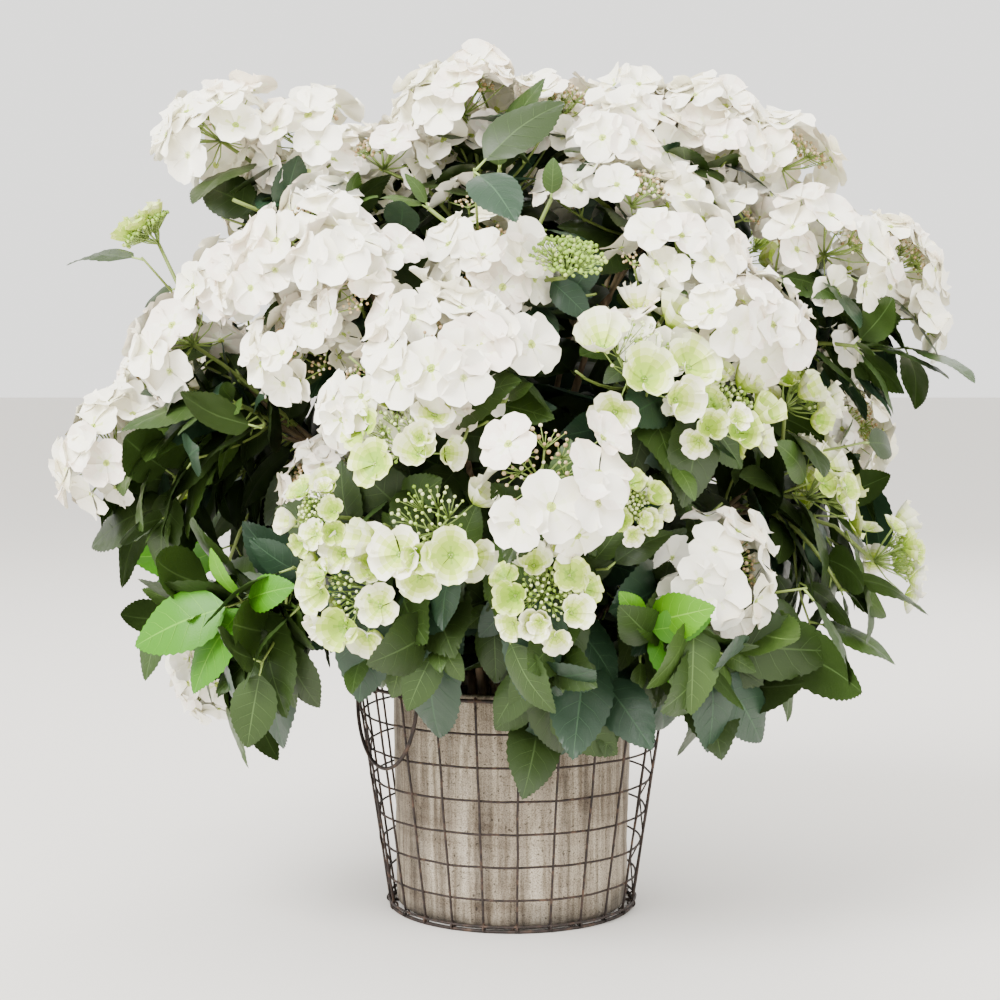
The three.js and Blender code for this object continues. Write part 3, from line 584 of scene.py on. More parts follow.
def basket():
    pile = Pile()
    bearings = [BASKET_TURN + 360 * i / UPRIGHT_COUNT for i in range(UPRIGHT_COUNT)]
    rings = [  # radius, height, points, how far it strays, its wire and that wire's sides
        (RIM_RADIUS, RIM_HEIGHT, 120, 0, RIM_WIRE, 12), (FOOT_RADIUS, FOOT_WIRE, 96, 0, FOOT_WIRE, 10),
        (FOOT_RADIUS + 1.6, 5.4, 96, 0.5, 1.0, 8),
    ]
    for row in range(1, HOOP_ROWS):
        z = RIM_HEIGHT * row / HOOP_ROWS
        rings.append((wall_radius(z) - UPRIGHT_WIRE - HOOP_WIRE, z, 96, 0.9, HOOP_WIRE, 8))
    for radius, z, count, stray, wire, sides in rings:
        pile.add(tube(ring_points(radius, z, count, stray), wire, sides, closed=True))
    for bearing in bearings:
        outward = around(1, bearing, 0)
        foot, rim = around(FOOT_RADIUS, bearing, FOOT_WIRE), around(RIM_RADIUS, bearing, RIM_HEIGHT)
        points = []
        for i in range(13):
            point = foot + (rim - foot) * i / 12
            rough = noise.noise_vector(Vector(point / 30))
            points.append(point + 0.7 * np.array([rough.x, rough.y, 0]) * math.sin(math.pi * i / 12))
        pile.add(tube(points, UPRIGHT_WIRE, 8))
        pile.add(small_ring(rim, outward, RIM_WIRE + 0.9, 0.9))
        pile.add(small_ring(foot + UP * 2.4, outward, FOOT_WIRE + 1.4, 0.8))
    for x in (-FLOOR_OFFSET, 0, FLOOR_OFFSET):
        half = math.sqrt(FOOT_RADIUS ** 2 - x ** 2)
        pile.add(tube([[x, -half, FLOOR_WIRE], [x, half, FLOOR_WIRE]], FLOOR_WIRE, 8))
    pile.add(tube([[-FOOT_RADIUS, 0, FLOOR_WIRE], [FOOT_RADIUS, 0, FLOOR_WIRE]], FLOOR_WIRE, 8))
    for bay in LACED_BAYS:
        sides = (bearings[bay], bearings[(bay + 1) % UPRIGHT_COUNT])
        points = []
        for row in range(HOOP_ROWS + 1):
            z = FOOT_WIRE + (RIM_HEIGHT - FOOT_WIRE) * row / HOOP_ROWS
            points.append(around(wall_radius(z) + 0.6, sides[(row + bay) % 2], z))
        pile.add(tube(points, LACING_WIRE, 6))
    for bearing in HANDLE_BEARINGS.values():
        stub = ((1, 29.5, 0), (2.5, 28, 7), (2.5, 26, 14))
        points = [around(RIM_RADIUS + out, bearing + turn, RIM_HEIGHT - drop) for out, turn, drop in stub]
        pile.add(tube(points, HANDLE_WIRE, 8))
    nodes = ["basket_cage"] + [f"basket_hoop_{row}" for row in range(1, HOOP_ROWS)]
    pile.make("basket_wires", [grained(*WIRE)], "wire", nodes)


def drop_handle(name, bearing):
    outward, across = around(1, bearing, 0), around(1, bearing + 90, 0)
    lean = math.radians(HANDLE_LEAN)
    down = math.sin(lean) * outward - math.cos(lean) * UP
    bay_radius = RIM_RADIUS * math.cos(math.pi / UPRIGHT_COUNT)
    middle = around(bay_radius * math.cos(math.radians(HANDLE_HALF_SPAN)), bearing, RIM_HEIGHT)
    half = bay_radius * math.sin(math.radians(HANDLE_HALF_SPAN))
    bail = []
    for i in range(37):
        angle = math.pi * i / 36
        drop = EYE_RADIUS + (HANDLE_DROP - EYE_RADIUS) * math.sin(angle)
        bail.append(middle + half * math.cos(angle) * across + drop * down)
    eyes = [small_ring(middle + side * half * across, outward, EYE_RADIUS, HANDLE_WIRE) for side in (-1, 1)]
    Pile(tube(bail, HANDLE_WIRE, 12), *eyes).make(name + "_wire", [grained(*WIRE)], "wire", [name], name)


# Pot

def cast_pot():
    inner, inner_foot = POT_RADIUS - POT_WALL, POT_FOOT_RADIUS - POT_WALL
    rows = 44
    profile = [(0, POT_FOOT), (POT_FOOT_RADIUS - 3, POT_FOOT), (POT_FOOT_RADIUS - 1, POT_FOOT + 1.2)]
    for i in range(rows + 1):
        z = POT_FOOT + 4 + (POT_TOP - 8 - POT_FOOT) * i / rows
        profile.append((POT_FOOT_RADIUS + (POT_RADIUS - POT_FOOT_RADIUS) * i / rows, z))
    profile += [(POT_RADIUS - 0.5, POT_TOP - 1.5), (POT_RADIUS - 2, POT_TOP), (inner + 2, POT_TOP)]
    profile += [(inner + 0.5, POT_TOP - 1.5), (inner, POT_TOP - 4), (inner, SOIL_TOP - 8)]
    profile += [(inner_foot, POT_FOOT + POT_FLOOR), (0, POT_FOOT + POT_FLOOR)]

    def relief(point):
        if point[2] < POT_FOOT + 1 or np.hypot(point[0], point[1]) < inner - 2:
            return point
        rough = 0.8 * noise.noise(Vector(point / 22)) + 0.4 * noise.noise(Vector(point / 6)) - 0.35
        return point + rough * unit(point * [1, 1, 0])

    Pile(turned(profile, POT_SIDES, relief)).make("weathered_pot", [pot_finish()], "pot", ["cast_pot"])


def potting_soil():
    foot, edge = POT_FOOT + POT_FLOOR + GAP, POT_RADIUS - POT_WALL - 2 * GAP
    profile = [(0, foot), (edge - 3, foot), (edge - 0.5, SOIL_TOP - 3)]
    profile += [(edge * (1 - i / 26), SOIL_TOP) for i in range(26)] + [(0, SOIL_TOP)]

    def relief(point):
        if point[2] < SOIL_TOP - 1:
            return point
        rough = 2.2 * noise.noise(Vector(point / 14)) + 1.6 * noise.noise(Vector(point / 4))
        return point + UP * rough

    Pile(turned(profile, SOIL_SIDES, relief)).make("bumpy_soil", [grained(*SOIL)], "soil", ["potting_soil"])


# Limbs, by the part's rule

def line_of(mass):
    ring, _, *ends = mass
    ends = np.array([end[:3] for end in ends], float)
    hub = ends.mean(axis=0)
    hub += (HEART - hub) * HUB_SHARE
    bearing = math.degrees(math.atan2(hub[1], hub[0]))
    ring = CANE_RINGS[ring]
    foot = around(ring, bearing, SOIL_TOP + GAP)
    reach = math.hypot(hub[0], hub[1]) - ring
    rise = max(CANE_KNEE["rise"] * (hub[2] - foot[2]), CANE_KNEE["least"])
    knee = around(ring + CANE_KNEE["reach"] * reach, bearing, foot[2] + rise)
    return foot, knee, hub


def twigs_of(mass, line):
    _, seed, *ends = mass
    twigs = []
    for i, end in enumerate(ends):
        place = TWIG_FEET["first"] + TWIG_FEET["range"] * (i + 0.5) / len(ends)
        share = CANE_SHARE + (1 - CANE_SHARE) * place
        bloom = [*end, "open"][:5] if len(end) > 3 else None
        start, end = bezier(line, share), np.array(end[:3], float)
        bend = start + TWIG_BEND * np.linalg.norm(end - start) * heading(line, share)
        habit = bloom[4] if bloom else "tip"
        twigs.append({"curve": (start, bend, end), "bloom": bloom, "habit": habit, "seed": 100 * seed + i})
    return twigs


lines = {name: line_of(mass) for name, mass in MASSES.items()}
twigs = {name: twigs_of(mass, lines[name]) for name, mass in MASSES.items()}


class Room:
    """Where the limbs and the masses' spaces are, to test a leaf's or a floret's room against."""

    def __init__(self):
        limbs, sites, site_owners = [], [], []

        def add_limb(points, owner, kind):
            limbs.extend((a, b, owner, kind) for a, b in zip(points, points[1:]))

        for number, (name, line) in enumerate(lines.items()):
            stem = bezier_points(line, CANE_SHARE, 1, 2)
            add_limb(bezier_points(line, 0, CANE_SHARE, 4), -1, -1)
            add_limb(stem, number, -1)
            places = [stem[0], *stem]
            for i, twig in enumerate(twigs[name]):
                add_limb(bezier_points(twig["curve"], 0, 1, 3), number, i)
                places += bezier_points(twig["curve"], 0.4, 1, 3)
            sites += places
            site_owners += [number] * len(places)
        self.starts, self.ends, self.owners, self.kinds = map(np.array, zip(*limbs))
        self.sites, self.site_owners = np.array(sites), np.array(site_owners)
        blooms = [end for mass in MASSES.values() for end in mass[2:] if len(end) > 3]
        self.heads = np.array([bloom[:3] for bloom in blooms], float)
        self.head_axes = np.array([facing(head) for head in self.heads])
        self.head_sizes = np.array([bloom[3] for bloom in blooms], float)
        self.leaves = np.zeros((0, 3))

    @staticmethod
    def clear_of_planter(points):
        low = points[:, 2] < RIM_HEIGHT + RIM_ROOM
        if not low.any():
            return True
        points = points[low]
        if (np.hypot(points[:, 0], points[:, 1]) < RIM_RADIUS + SWING_ROOM).any():
            return False
        for bearing in HANDLE_BEARINGS.values():
            way = around(1, bearing, 0)
            out = points @ way
            off = points @ np.array([-way[1], way[0], 0])
            near = (out > 0) & (out < RIM_RADIUS + HANDLE_DROP + SWING_ROOM)
            if (near & (abs(off) < RIM_RADIUS / 2)).any():
                return False
        return True

    def gaps(self, points, chosen):
        """How far the middle lines of the chosen limbs are from each point."""
        starts, spans = self.starts[chosen], (self.ends - self.starts)[chosen]
        shares = np.einsum("psk,sk->ps", points[:, None] - starts, spans) / (spans ** 2).sum(axis=1)
        closest = starts + np.clip(shares, 0, 1)[:, :, None] * spans
        return np.linalg.norm(points[:, None] - closest, axis=2)

    def fits(self, points, own, margin=2 * SPACE_MARGIN):
        """The part's test: off the planter, nearer to its own mass than to others, and off other limbs.

        Its own are the numbers of its mass and its twig there.
        """
        number, twig = own
        points = np.array(points)
        if not self.clear_of_planter(points):
            return False
        apart = np.linalg.norm(points[:, None] - self.sites, axis=2)
        inside = self.site_owners == number
        if (apart[:, ~inside].min(axis=1) < apart[:, inside].min(axis=1) + margin).any():
            return False
        apart = self.gaps(points, slice(None)).min(axis=0)
        least = np.full(len(apart), TWIG_FOOT_RADIUS + LIMB_MARGIN)
        least[self.owners == -1] = CANE_FOOT_RADIUS + LIMB_MARGIN
        least[self.owners == number] = TWIG_FOOT_RADIUS
        least[(self.owners == number) & (self.kinds == twig)] = 0
        return not (apart < least).any()

    def open_place(self, points):
        """Whether points are off the planter and every cane."""
        points = np.array(points)
        clear = self.clear_of_planter(points)
        return clear and self.gaps(points, self.owners == -1).min() > CANE_FOOT_RADIUS

    def off_heads(self, points, ease=1.0):
        """Whether no point of a leaf is inside a flower head or above one."""
        spokes = np.array(points)[:, None] - self.heads
        up = (spokes * self.head_axes).sum(axis=2)
        out = np.linalg.norm(spokes - up[:, :, None] * self.head_axes, axis=2)
        sizes = self.head_sizes * ease
        lowest = (0.2 - 0.7 * ease) * sizes
        return not ((out < 0.92 * sizes) & (up > lowest) & (up < 0.9 * sizes)).any()

    def spread(self, middle, least):
        """Whether a leaf's middle is clear of the middles of the leaves before it, which it then joins."""
        if len(self.leaves) and np.linalg.norm(self.leaves - middle, axis=1).min() < least:
            return False
        self.leaves = np.vstack([self.leaves, middle])
        return True


room = Room()


# Leaves

def lift_at(x):
    """How far a leaf's middle line stands off its straight line, as shares of its length."""
    if x < LEAF_WIDEST:
        return LEAF_ARCH * (1 - ((LEAF_WIDEST - x) / LEAF_WIDEST) ** 2)
    return LEAF_ARCH - (LEAF_ARCH + LEAF_DROOP) * ((x - LEAF_WIDEST) / (1 - LEAF_WIDEST)) ** 1.6


def leaf_shape(seed):
    """A serrated blade with a sunk midrib and side veins, one long with its stalk, which isn't in the shape.

    A leaf's axes are left-handed, and with them its faces look out. Its tints are 0 for the blade and the
    number of blade colours for the veins.
    """
    draw = seeded(seed)
    stalk, rows = 0.12, 14
    wave, bend, twist = 2 * math.pi * draw(), 0.05 * (draw() - 0.5), 0.08 * (draw() - 0.5)
    fold = 0.06 + 0.14 * draw()
    points, faces, tints = [], [], []

    def width(u):
        return 0.25 * (u / 0.43) ** 0.66 * ((1 - u) / 0.57) ** 0.88

    def vertex(u, v, beyond=0.0, raised=0.0):
        forward = u + 0.82 * abs(v) ** 1.2 * u * (1 - u)
        half = width(min(max(forward, 0), 1))
        x = stalk + (1 - stalk) * forward
        y = v * (half + beyond)
        z = lift_at(x) + fold * abs(y) - 0.9 * y * y + raised + twist * y
        z += 0.02 * abs(v) * math.sin(wave + 9 * u) * half * 4
        points.append((x, y + bend * x * x, z))
        return len(points) - 1

    columns = (-1, -0.5, -0.03, 0.03, 0.5, 1)
    grid = {}
    for i in range(1, rows):
        u = i / rows
        for v in columns:
            quilt = 0.009 if abs(v) == 0.5 and i % 2 == 0 else -0.005 if abs(v) < 0.1 else 0
            grid[i, v] = vertex(u, v, -0.006 if abs(v) == 1 else 0, quilt)
    base, tip = vertex(0.0, 0), vertex(1.0, 0)

    def face(a, b, c, tint=0):
        faces.append((a, b, c))
        tints.append(tint)

    for left, right in zip(columns, columns[1:]):
        rib = 1 if abs(left) < 0.1 and abs(right) < 0.1 else 0
        face(base, grid[1, right], grid[1, left], rib)
        face(tip, grid[rows - 1, left], grid[rows - 1, right], rib)
        for i in range(1, rows - 1):
            a, b, c, d = grid[i, left], grid[i, right], grid[i + 1, right], grid[i + 1, left]
            if abs(left) != 1 and abs(right) != 1:
                face(a, c, d, rib)
                face(a, b, c, rib)
                continue
            tooth = vertex((i + 0.62) / rows, left if left == -1 else right, 0.008)
            at_left = (tooth, a, b), (c, tooth, b), (c, d, tooth)
            at_right = (a, b, tooth), (a, tooth, d), (tooth, c, d)
            for trio in at_left if left == -1 else at_right:
                face(*trio)
    for i in range(1, rows - 2, 2):
        for side in (-1, 1):
            strips = []
            for v, half in ((0.03, 0.0036), (0.5, 0.0024), (0.9, 0.001)):
                u = i / rows
                strips.append((vertex(u - half, side * v, 0, 0.0018), vertex(u + half, side * v, 0, 0.0018)))
            for (a, b), (c, d) in zip(strips, strips[1:]):
                for trio in ((d, b, a), (c, d, a)) if side > 0 else ((b, d, a), (d, c, a)):
                    face(*trio, 1)
    return np.array(points), np.array(faces), np.array(tints) * len(BLADES)


def tilted(point, amount, draw):
    """The way a leaf faces: outwards, and a little off it at random."""
    angle, height = 2 * math.pi * draw(), 2 * draw() - 1
    level = math.sqrt(1 - height ** 2)
    return unit(facing(point) + amount * np.array([level * math.cos(angle), level * math.sin(angle), height]))


def leaf_samples(point, axes, length):
    """The points that the part tests a leaf's room with."""
    samples = []
    for i in range(3, 11):
        share = i / 10
        past = (share - LEAF_WIDEST) / (1 - LEAF_WIDEST)
        wide, lift = LEAF_ASPECT / 2 * (1 - past), LEAF_ARCH - (LEAF_ARCH + LEAF_DROOP) * past
        if past < 0:
            wide, lift = LEAF_ASPECT / 2 * (share / LEAF_WIDEST), LEAF_ARCH * share / LEAF_WIDEST
        for side in (-1, -0.5, 0, 0.5, 1):
            samples.append(point + length * (np.array([share, side * wide, lift]) @ np.array(axes)))
    return samples


leaf_shapes = [leaf_shape(seed) for seed in range(1, 9)]
leaf_piles = [Pile(), Pile(), Pile()]
twig_pile = Pile()
blossom_piles = [Pile(), Pile(), Pile()]
bud_pile = Pile()
BUD = ball()


def grow_leaf(point, face, length, ways, tints, draw, own, clear):
    """The first leaf that has room. A way is where a leaf points and its share of the length."""
    for along, share in ways:
        out = unit(face - along * along.dot(face))
        axes = along, np.cross(along, out), out
        size = length * share
        if clear(leaf_samples(point, axes, size)):
            tint = tints[int(len(tints) * draw())] if len(tints) > 1 else tints[0]
            shape = leaf_shapes[int(len(leaf_shapes) * draw())]
            leaf_piles[own[0] % 3].stamp(shape, point, axes, size, tint)
            stalk = [point + size * k * (0.07 * along + 0.008 * out) for k in (0, 1, 2.1)]
            twig_pile.add(tube(stalk, [1.1, 0.85, 0.75], 4), 2 if tint < YOUNG else 1)
            return


def grow_pair(curve, place, turn, pair, draw, own, size, tints, extra=True):
    """A pair of leaves at a node. One without room swings round the twig, or is smaller, or is left out."""
    point, tangent, first, second = frame_at(curve, place)
    kind = "extra" if extra else "rule"

    def clear(samples):
        if not room.fits(samples, own) or not room.off_heads(samples, 1.0 if extra else 0.9):
            return False
        return room.spread(samples[MIDDLE_SAMPLE], LEAF_SPREAD[kind])

    for half in (0, 1):
        long = size * LEAF_LENGTH * (LEAF_RANGE["least"] + LEAF_RANGE["more"] * draw())
        pick = seeded(int(1000 * point[0] + 100 * point[2]) % 99991 + half + 7)
        face = tilted(point, LEAF_TILT[kind], pick)
        ways = []
        for swing, share in LEAF_TRIES:
            side = spoke(turn + math.pi * (half + pair / 2) + math.radians(swing), first, second)
            along = unit(LEAF_WAY["along"] * tangent + LEAF_WAY["out"] * side + LEAF_WAY["up"] * UP)
            ways.append((along, share))
        grow_leaf(point, face, long, ways, tints, pick, own, clear)


def grow_shoot(own, twig):
    """A twig with its leaves, and a flower head or a rosette of young leaves at its end."""
    curve, habit = twig["curve"], twig["habit"]
    shoot, last_size = LIME_SHOOTS.get(list(MASSES)[own[0]], (None, 1))
    lime = shoot == own[1]
    draw = seeded(twig["seed"])
    if twig["bloom"]:
        grow_head(twig["bloom"], draw, own)
    turn = 2 * math.pi * draw()
    reach = np.linalg.norm((curve[2] - HEART) * [1, 1, 0.8])
    outer = reach > LIT["reach"] and curve[2][2] < LIT["height"]
    # Lighter tints out on low twigs are painted light; the darker ones elsewhere are painted shade inside the
    # bush.
    tints = (1, 2, 2, 4, 3) if outer else (0, 1, 3, 2)
    size = LEAF_SIZES[habit]
    for pair, place in enumerate(NODE_PLACES[habit]):
        young = lime and place > 0.9
        share, colours = (last_size, (5, 5, 6)) if young else (1, tints)
        grow_pair(curve, place, turn, pair, draw, own, share * size, colours, False)
    more = seeded(twig["seed"] + 50)
    if curve[2][2] > SMALL_LEAVES["height"]:
        size *= SMALL_LEAVES["share"]
    for pair, place in enumerate(MORE_PLACES[habit]):
        # Leaves low on a twig take the darkest tints, painted shade inside the bush.
        dark = (0, 0, 1, 3) if place < 0.5 else tints
        other = turn + math.pi / 4 + math.pi * more() / 4
        grow_pair(curve, place, other, pair, more, own, 0.9 * size, dark)
    for place in SIDE_TWIG["places"]:
        grow_side_twig(own, twig, place, turn + math.pi * more(), more, tints)
    if habit == "tip":
        grow_rosette(curve, turn, more, own, lime)
    points = bezier_points(curve, 0, 1, 8)
    radii = [TWIG_FOOT_RADIUS + (TWIG_TIP_RADIUS - TWIG_FOOT_RADIUS) * i / 8 for i in range(9)]
    if twig["bloom"]:
        points[-1] = collar_of(twig["bloom"])
        points[-2] = (points[-3] + points[-1]) / 2
    twig_pile.add(tube(points[:4], radii[:4], 7), 0)
    twig_pile.add(tube(points[3:], radii[3:], 7), 1)


def grow_cane_leaves(number, line):
    """Leaves low on a cane and its stem, which stand in the shade of the crown."""
    draw = seeded(700 + number)

    def clear(samples):
        away = room.open_place(samples) and room.off_heads(samples)
        return away and room.spread(samples[MIDDLE_SAMPLE], LEAF_SPREAD["cane"])

    for place in CANE_NODES:
        point, tangent, first, second = frame_at(line, place)
        turn = 2 * math.pi * draw()
        for half in (0, 1):
            long = LEAF_LENGTH * (0.85 + 0.25 * draw())
            face = tilted(point, LEAF_TILT["cane"], draw)
            ways = []
            for swing, share in LEAF_TRIES:
                side = spoke(turn + math.pi * half + math.radians(swing * 1.4), first, second)
                ways.append((unit(0.3 * tangent + side - 0.15 * UP), share))
            # The darkest tints here are painted shade under the crown.
            grow_leaf(point, face, long, ways, (0, 1, 1, 3), draw, (number, None), clear)


def grow_side_twig(own, twig, place, turn, draw, tints):
    """A finer twig from a node, with a small pair half way and another at its end."""
    point, tangent, first, second = frame_at(twig["curve"], place)
    long = SIDE_TWIG["least"] + SIDE_TWIG["more"] * draw()
    for swing in SIDE_TWIG["swings"]:
        way = unit(0.6 * tangent + 0.8 * spoke(turn + math.radians(swing), first, second))
        fine = (point, point + 0.5 * long * way, point + long * unit(way + 0.25 * facing(point)))
        if room.fits(bezier_points(fine, 0.25, 1, 4), own):
            break
    else:
        return
    twig_pile.add(tube(bezier_points(fine, 0, 1, 4), [1.3, 1.2, 1.1, 1.0, 0.9], 5), 1)
    flowers = twig["habit"] == "open" and fine[2][2] > CROWN_HEIGHT
    for pair, (at, size) in enumerate(((0.55, 0.62),) if flowers else ((0.55, 0.62), (0.97, 0.8))):
        grow_pair(fine, at, turn + 1.2, pair, draw, own, size, tints)
    if flowers:
        grow_cluster(fine[2], unit(fine[2] - point), draw, own)


def grow_cluster(end, way, draw, own):
    """A small head at the end of a finer twig: a few florets about a knot of buds."""
    axis = unit(facing(end) + 0.4 * way)
    first, second = square_to(axis)
    turn = 2 * math.pi * draw()
    petal = 20 + 4 * draw()
    for k in range(5):
        outwards = spoke(turn + 2 * math.pi * k / 5, first, second)
        where = end + petal * (0.85 * outwards + 0.2 * draw() * axis)
        if room.fits([where, where + 0.75 * petal * outwards], own, PETAL_MARGIN):
            jitter = 0.4 * (np.array([draw(), draw(), draw()]) - 0.5)
            size = petal * (0.88 + 0.2 * draw())
            place_floret(where, axis + 1.1 * outwards + jitter, size, "open", draw, own)
            twig_pile.add(tube([end - 4 * axis, where - 1.5 * axis], [0.7, 0.5], 3), 2)
    for k in range(16):
        where = end + 2.6 * math.sqrt(k) * spoke(2.4 * k, first, second) + 3 * draw() * axis
        bud_pile.stamp(BUD, where, (first, second, axis), 1.2, k % 3)


def grow_rosette(curve, turn, draw, own, lime):
    """Young leaves at a leafy shoot's end, which stand forward. Lime-green ones are larger and lie flat."""
    point, tangent, first, second = frame_at(curve, 1)
    margin = PETAL_MARGIN if lime else 2 * SPACE_MARGIN
    if lime:
        turn = math.atan2(second @ LIME_WAY, first @ LIME_WAY)

    def clear(samples):
        return room.fits(samples, own, margin) and room.off_heads(samples)

    for k, (lean, size) in enumerate(LIME_ROSETTE if lime else ROSETTE):
        side = spoke(turn + math.pi * k + (math.pi / 2 if k > 1 else 0), first, second)
        if lime and k > 1 and side[2] < 0:
            continue
        along = unit(tangent + lean * side + 0.1 * UP)
        length = LEAF_LENGTH * size * (0.9 + 0.2 * draw())
        ways = [(along, share) for share in ((1, 0.85, 0.7) if lime else (1,))]
        tint = ((5, 6) if lime else (2, 4))[k > 1]
        grow_leaf(point, facing(point), length, ways, (tint,), draw, own, clear)


# Flower heads

def floret_shape(seed, cup, curl, rows):
    """Four broad petals that overlap, one in radius. Tints run from the rim of a petal, 0, to its heart."""
    draw = seeded(seed)
    points, faces, tints = [], [], []
    columns = 11
    for k in range(4):
        turn = math.pi / 2 * k + 0.16 * (draw() - 0.5)
        long, lift = 0.92 + 0.1 * draw(), 0.07 if k % 2 else 0.0
        tilt, wave, hollow = 0.14 * (draw() - 0.5), 6 * draw(), 0.1 + 0.12 * draw()
        first = len(points)
        for r in rows:
            for j in range(columns):
                v = 2 * j / (columns - 1) - 1
                angle = turn + v * math.radians(54) * (0.8 + 0.2 * r)
                notch = 0.05 * math.exp(-(v / 0.3) ** 2) + 0.36 * abs(v) ** 2.6
                out = long * r * (1 - notch * r * r) * (1 - 0.16 * cup * r)
                out += 0.016 * (-1) ** j if r == 1 else 0
                z = lift * min(1, 3 * r) + cup * r ** 1.7 + tilt * v * r
                z += curl * r ** 3 * math.sin(wave + 4.4 * v) + hollow * r * v * v
                z += 0.022 * r * (1 - 0.5 * r) * math.cos(4 * math.pi * v)
                points.append((out * math.cos(angle), out * math.sin(angle), z))
        centre = len(points)
        points.append((0, 0, lift * 0.3 - 0.02))
        for j in range(columns - 1):
            faces.append((centre, first + j, first + j + 1))
            tints.append(len(rows))
        for i in range(len(rows) - 1):
            for j in range(columns - 1):
                a = first + i * columns + j
                b, c, d = a + 1, a + 1 + columns, a + columns
                faces += [(a, d, c), (a, c, b)]
                flame = 1 if 3 < j < columns - 5 else 0
                tints += [len(rows) - 2 - i + flame] * 2
    return np.array(points), np.array(faces), np.array(tints)


CUPS = {"open": (0.03, 0.14, -0.05, 0.2, 0.08, 0.0, 0.26, 0.1), "young": (0.55, 0.75, 0.4, 0.95, 0.3)}
PETAL_ROWS = {"open": (0.13, 0.4, 0.7, 1.0), "young": (0.12, 0.28, 0.45, 0.63, 0.82, 1.0)}
FLORET_SHAPES = {
    age: [floret_shape(seed + i, cup, curl, PETAL_ROWS[age]) for i, cup in enumerate(CUPS[age])]
    for age, seed, curl in (("open", 20, 0.07), ("young", 40, 0.04))
}
FLORET_TINTS = {
    "open": (
        (0, 0, 0, 2, 4), (0, 0, 0, 1, 3), (0, 1, 1, 3, 5), (8, 8, 0, 2, 4), (0, 0, 1, 2, 4), (8, 0, 0, 1, 4),
    ),
    "young": (
        (2, 3, 4, 5, 5, 6, 7), (3, 4, 5, 5, 6, 7, 7), (1, 2, 3, 4, 5, 6, 7), (3, 4, 5, 6, 6, 7, 7),
        (1, 2, 3, 4, 5, 6, 7), (0, 1, 3, 4, 5, 6, 7),
    ),
    "bud": ((3, 4, 4, 5, 6, 7, 7), (4, 5, 5, 6, 6, 7, 7)),
}
# More florets than the part has: how many, where round the head and out from its middle, how high, how far
# they lean out, their size and the chance of each
MORE_FLORETS = {
    "open": (
        (5, 0.0, 0.7, 0.0, 1.0, 0.9, 0.85), (7, 0.25, 0.74, -0.36, 2.8, 0.88, 0.85),
        (5, 0.6, 0.5, -0.66, 4.0, 0.8, 0.6), (4, 0.2, 0.42, 0.14, 0.6, 0.84, 0.34),
    ),
    "young": (
        (5, 0.0, 0.74, 0.02, 0.9, 0.84, 0.65), (3, 0.3, 0.5, 0.3, 0.5, 0.66, 0.35),
        (4, 0.1, 0.6, -0.4, 2.6, 0.8, 0.5),
    ),
    "bud": (),
}


def collar_of(bloom):
    centre = np.array(bloom[:3], float)
    return centre - DOME["depth"] * bloom[3] * facing(centre)


def place_floret(centre, axis, radius, age, draw, own):
    shapes = FLORET_SHAPES["open" if age == "open" else "young"]
    table = FLORET_TINTS[age]
    points, faces, parts = shapes[int(len(shapes) * draw())]
    tints = np.array(table[int(len(table) * draw())])[parts]
    axis = unit(axis)
    side = unit(np.cross(axis, [0.3, 0.9, 0.2]))
    spin = 2 * math.pi * draw()
    first = spoke(spin, side, np.cross(axis, side))
    second = np.cross(axis, first)
    blossom_piles[own[0] % 3].stamp((points, faces, tints), centre, (first, second, axis), radius)
    for k in range(3):
        off = 0.045 * spoke(2 * math.pi * k / 3, first, second) + 0.03 * axis
        bud_pile.stamp(BUD, centre + radius * off, (first, second, axis), 0.75, 3)


def grow_head(bloom, draw, own):
    """A head as the part makes it: a ring of large florets on a low dome, filled in with more of both."""
    radius, age = bloom[3:]
    centre = np.array(bloom[:3], float)
    axis = facing(centre)
    first, second = square_to(axis)
    turn = 2 * math.pi * draw()
    step = 2 * math.pi / FLORETS

    def outwards(angle):
        return spoke(turn + angle, first, second)

    def at(angle, out, up):
        return centre + radius * (out * outwards(angle) + up * axis)

    more = seeded(int(centre[0] * 7 + centre[2] * 13) % 9973 + 5)
    petal = min({"open": 0.46, "young": 0.42, "bud": 0.5}[age] * radius, 27)
    stalks = []

    def floret(where, angle, lean, size):
        jitter = 0.36 * (np.array([more(), more(), more()]) - 0.5)
        way = unit(axis + lean * outwards(angle) + jitter * (1 + 0.4 * lean))
        place_floret(where, way, size, age, more, own)
        stalks.append(where - 0.05 * petal * way)

    for i in range(FLORETS):
        size = 1 - FLORET_RANGE["smaller"] * draw()
        dip = -DROOP[age] * (FLORET_RANGE["least"] + FLORET_RANGE["more"] * draw())
        angle = (i + 0.5) * step
        corners = [at(angle + off * step, out * size, low * dip) for off, out, low in PETAL_CORNERS]
        samples = corners + [corner + 0.25 * (centre - corner) for corner in corners]
        if (age == "bud" and radius > SHUT_HEAD) or not room.fits(samples, own, PETAL_MARGIN):
            continue
        lean = (0.28 - dip) * radius / (2 * petal) * (1.3 if age == "open" else 0.8)
        where = at(angle, size - 0.92 * petal / radius, (0.2 + dip) / 2 + 0.06 * more())
        floret(where, angle, lean, petal * (0.92 + 0.14 * more()))
    for count, start, out, up, lean, size, chance in MORE_FLORETS[age]:
        for i in range(count):
            angle = (i + start + 0.3 * (more() - 0.5)) * 2 * math.pi / count
            where = at(angle, out, up + 0.06 * (more() - 0.5))
            reach = where + 0.75 * size * petal * unit(outwards(angle) - min(lean, 2) * 0.5 * axis)
            if more() < chance and room.fits([where, reach], own, PETAL_MARGIN):
                floret(where, angle, lean, petal * size * (0.92 + 0.14 * more()))
    collar = collar_of(bloom)
    for where in stalks:
        middle = (collar + where) / 2 - 0.05 * radius * axis
        twig_pile.add(tube([collar, middle, where], [0.8, 0.6, 0.5], 3), 2)
    grow_buds(bloom, at, more, collar, (first, second, axis))


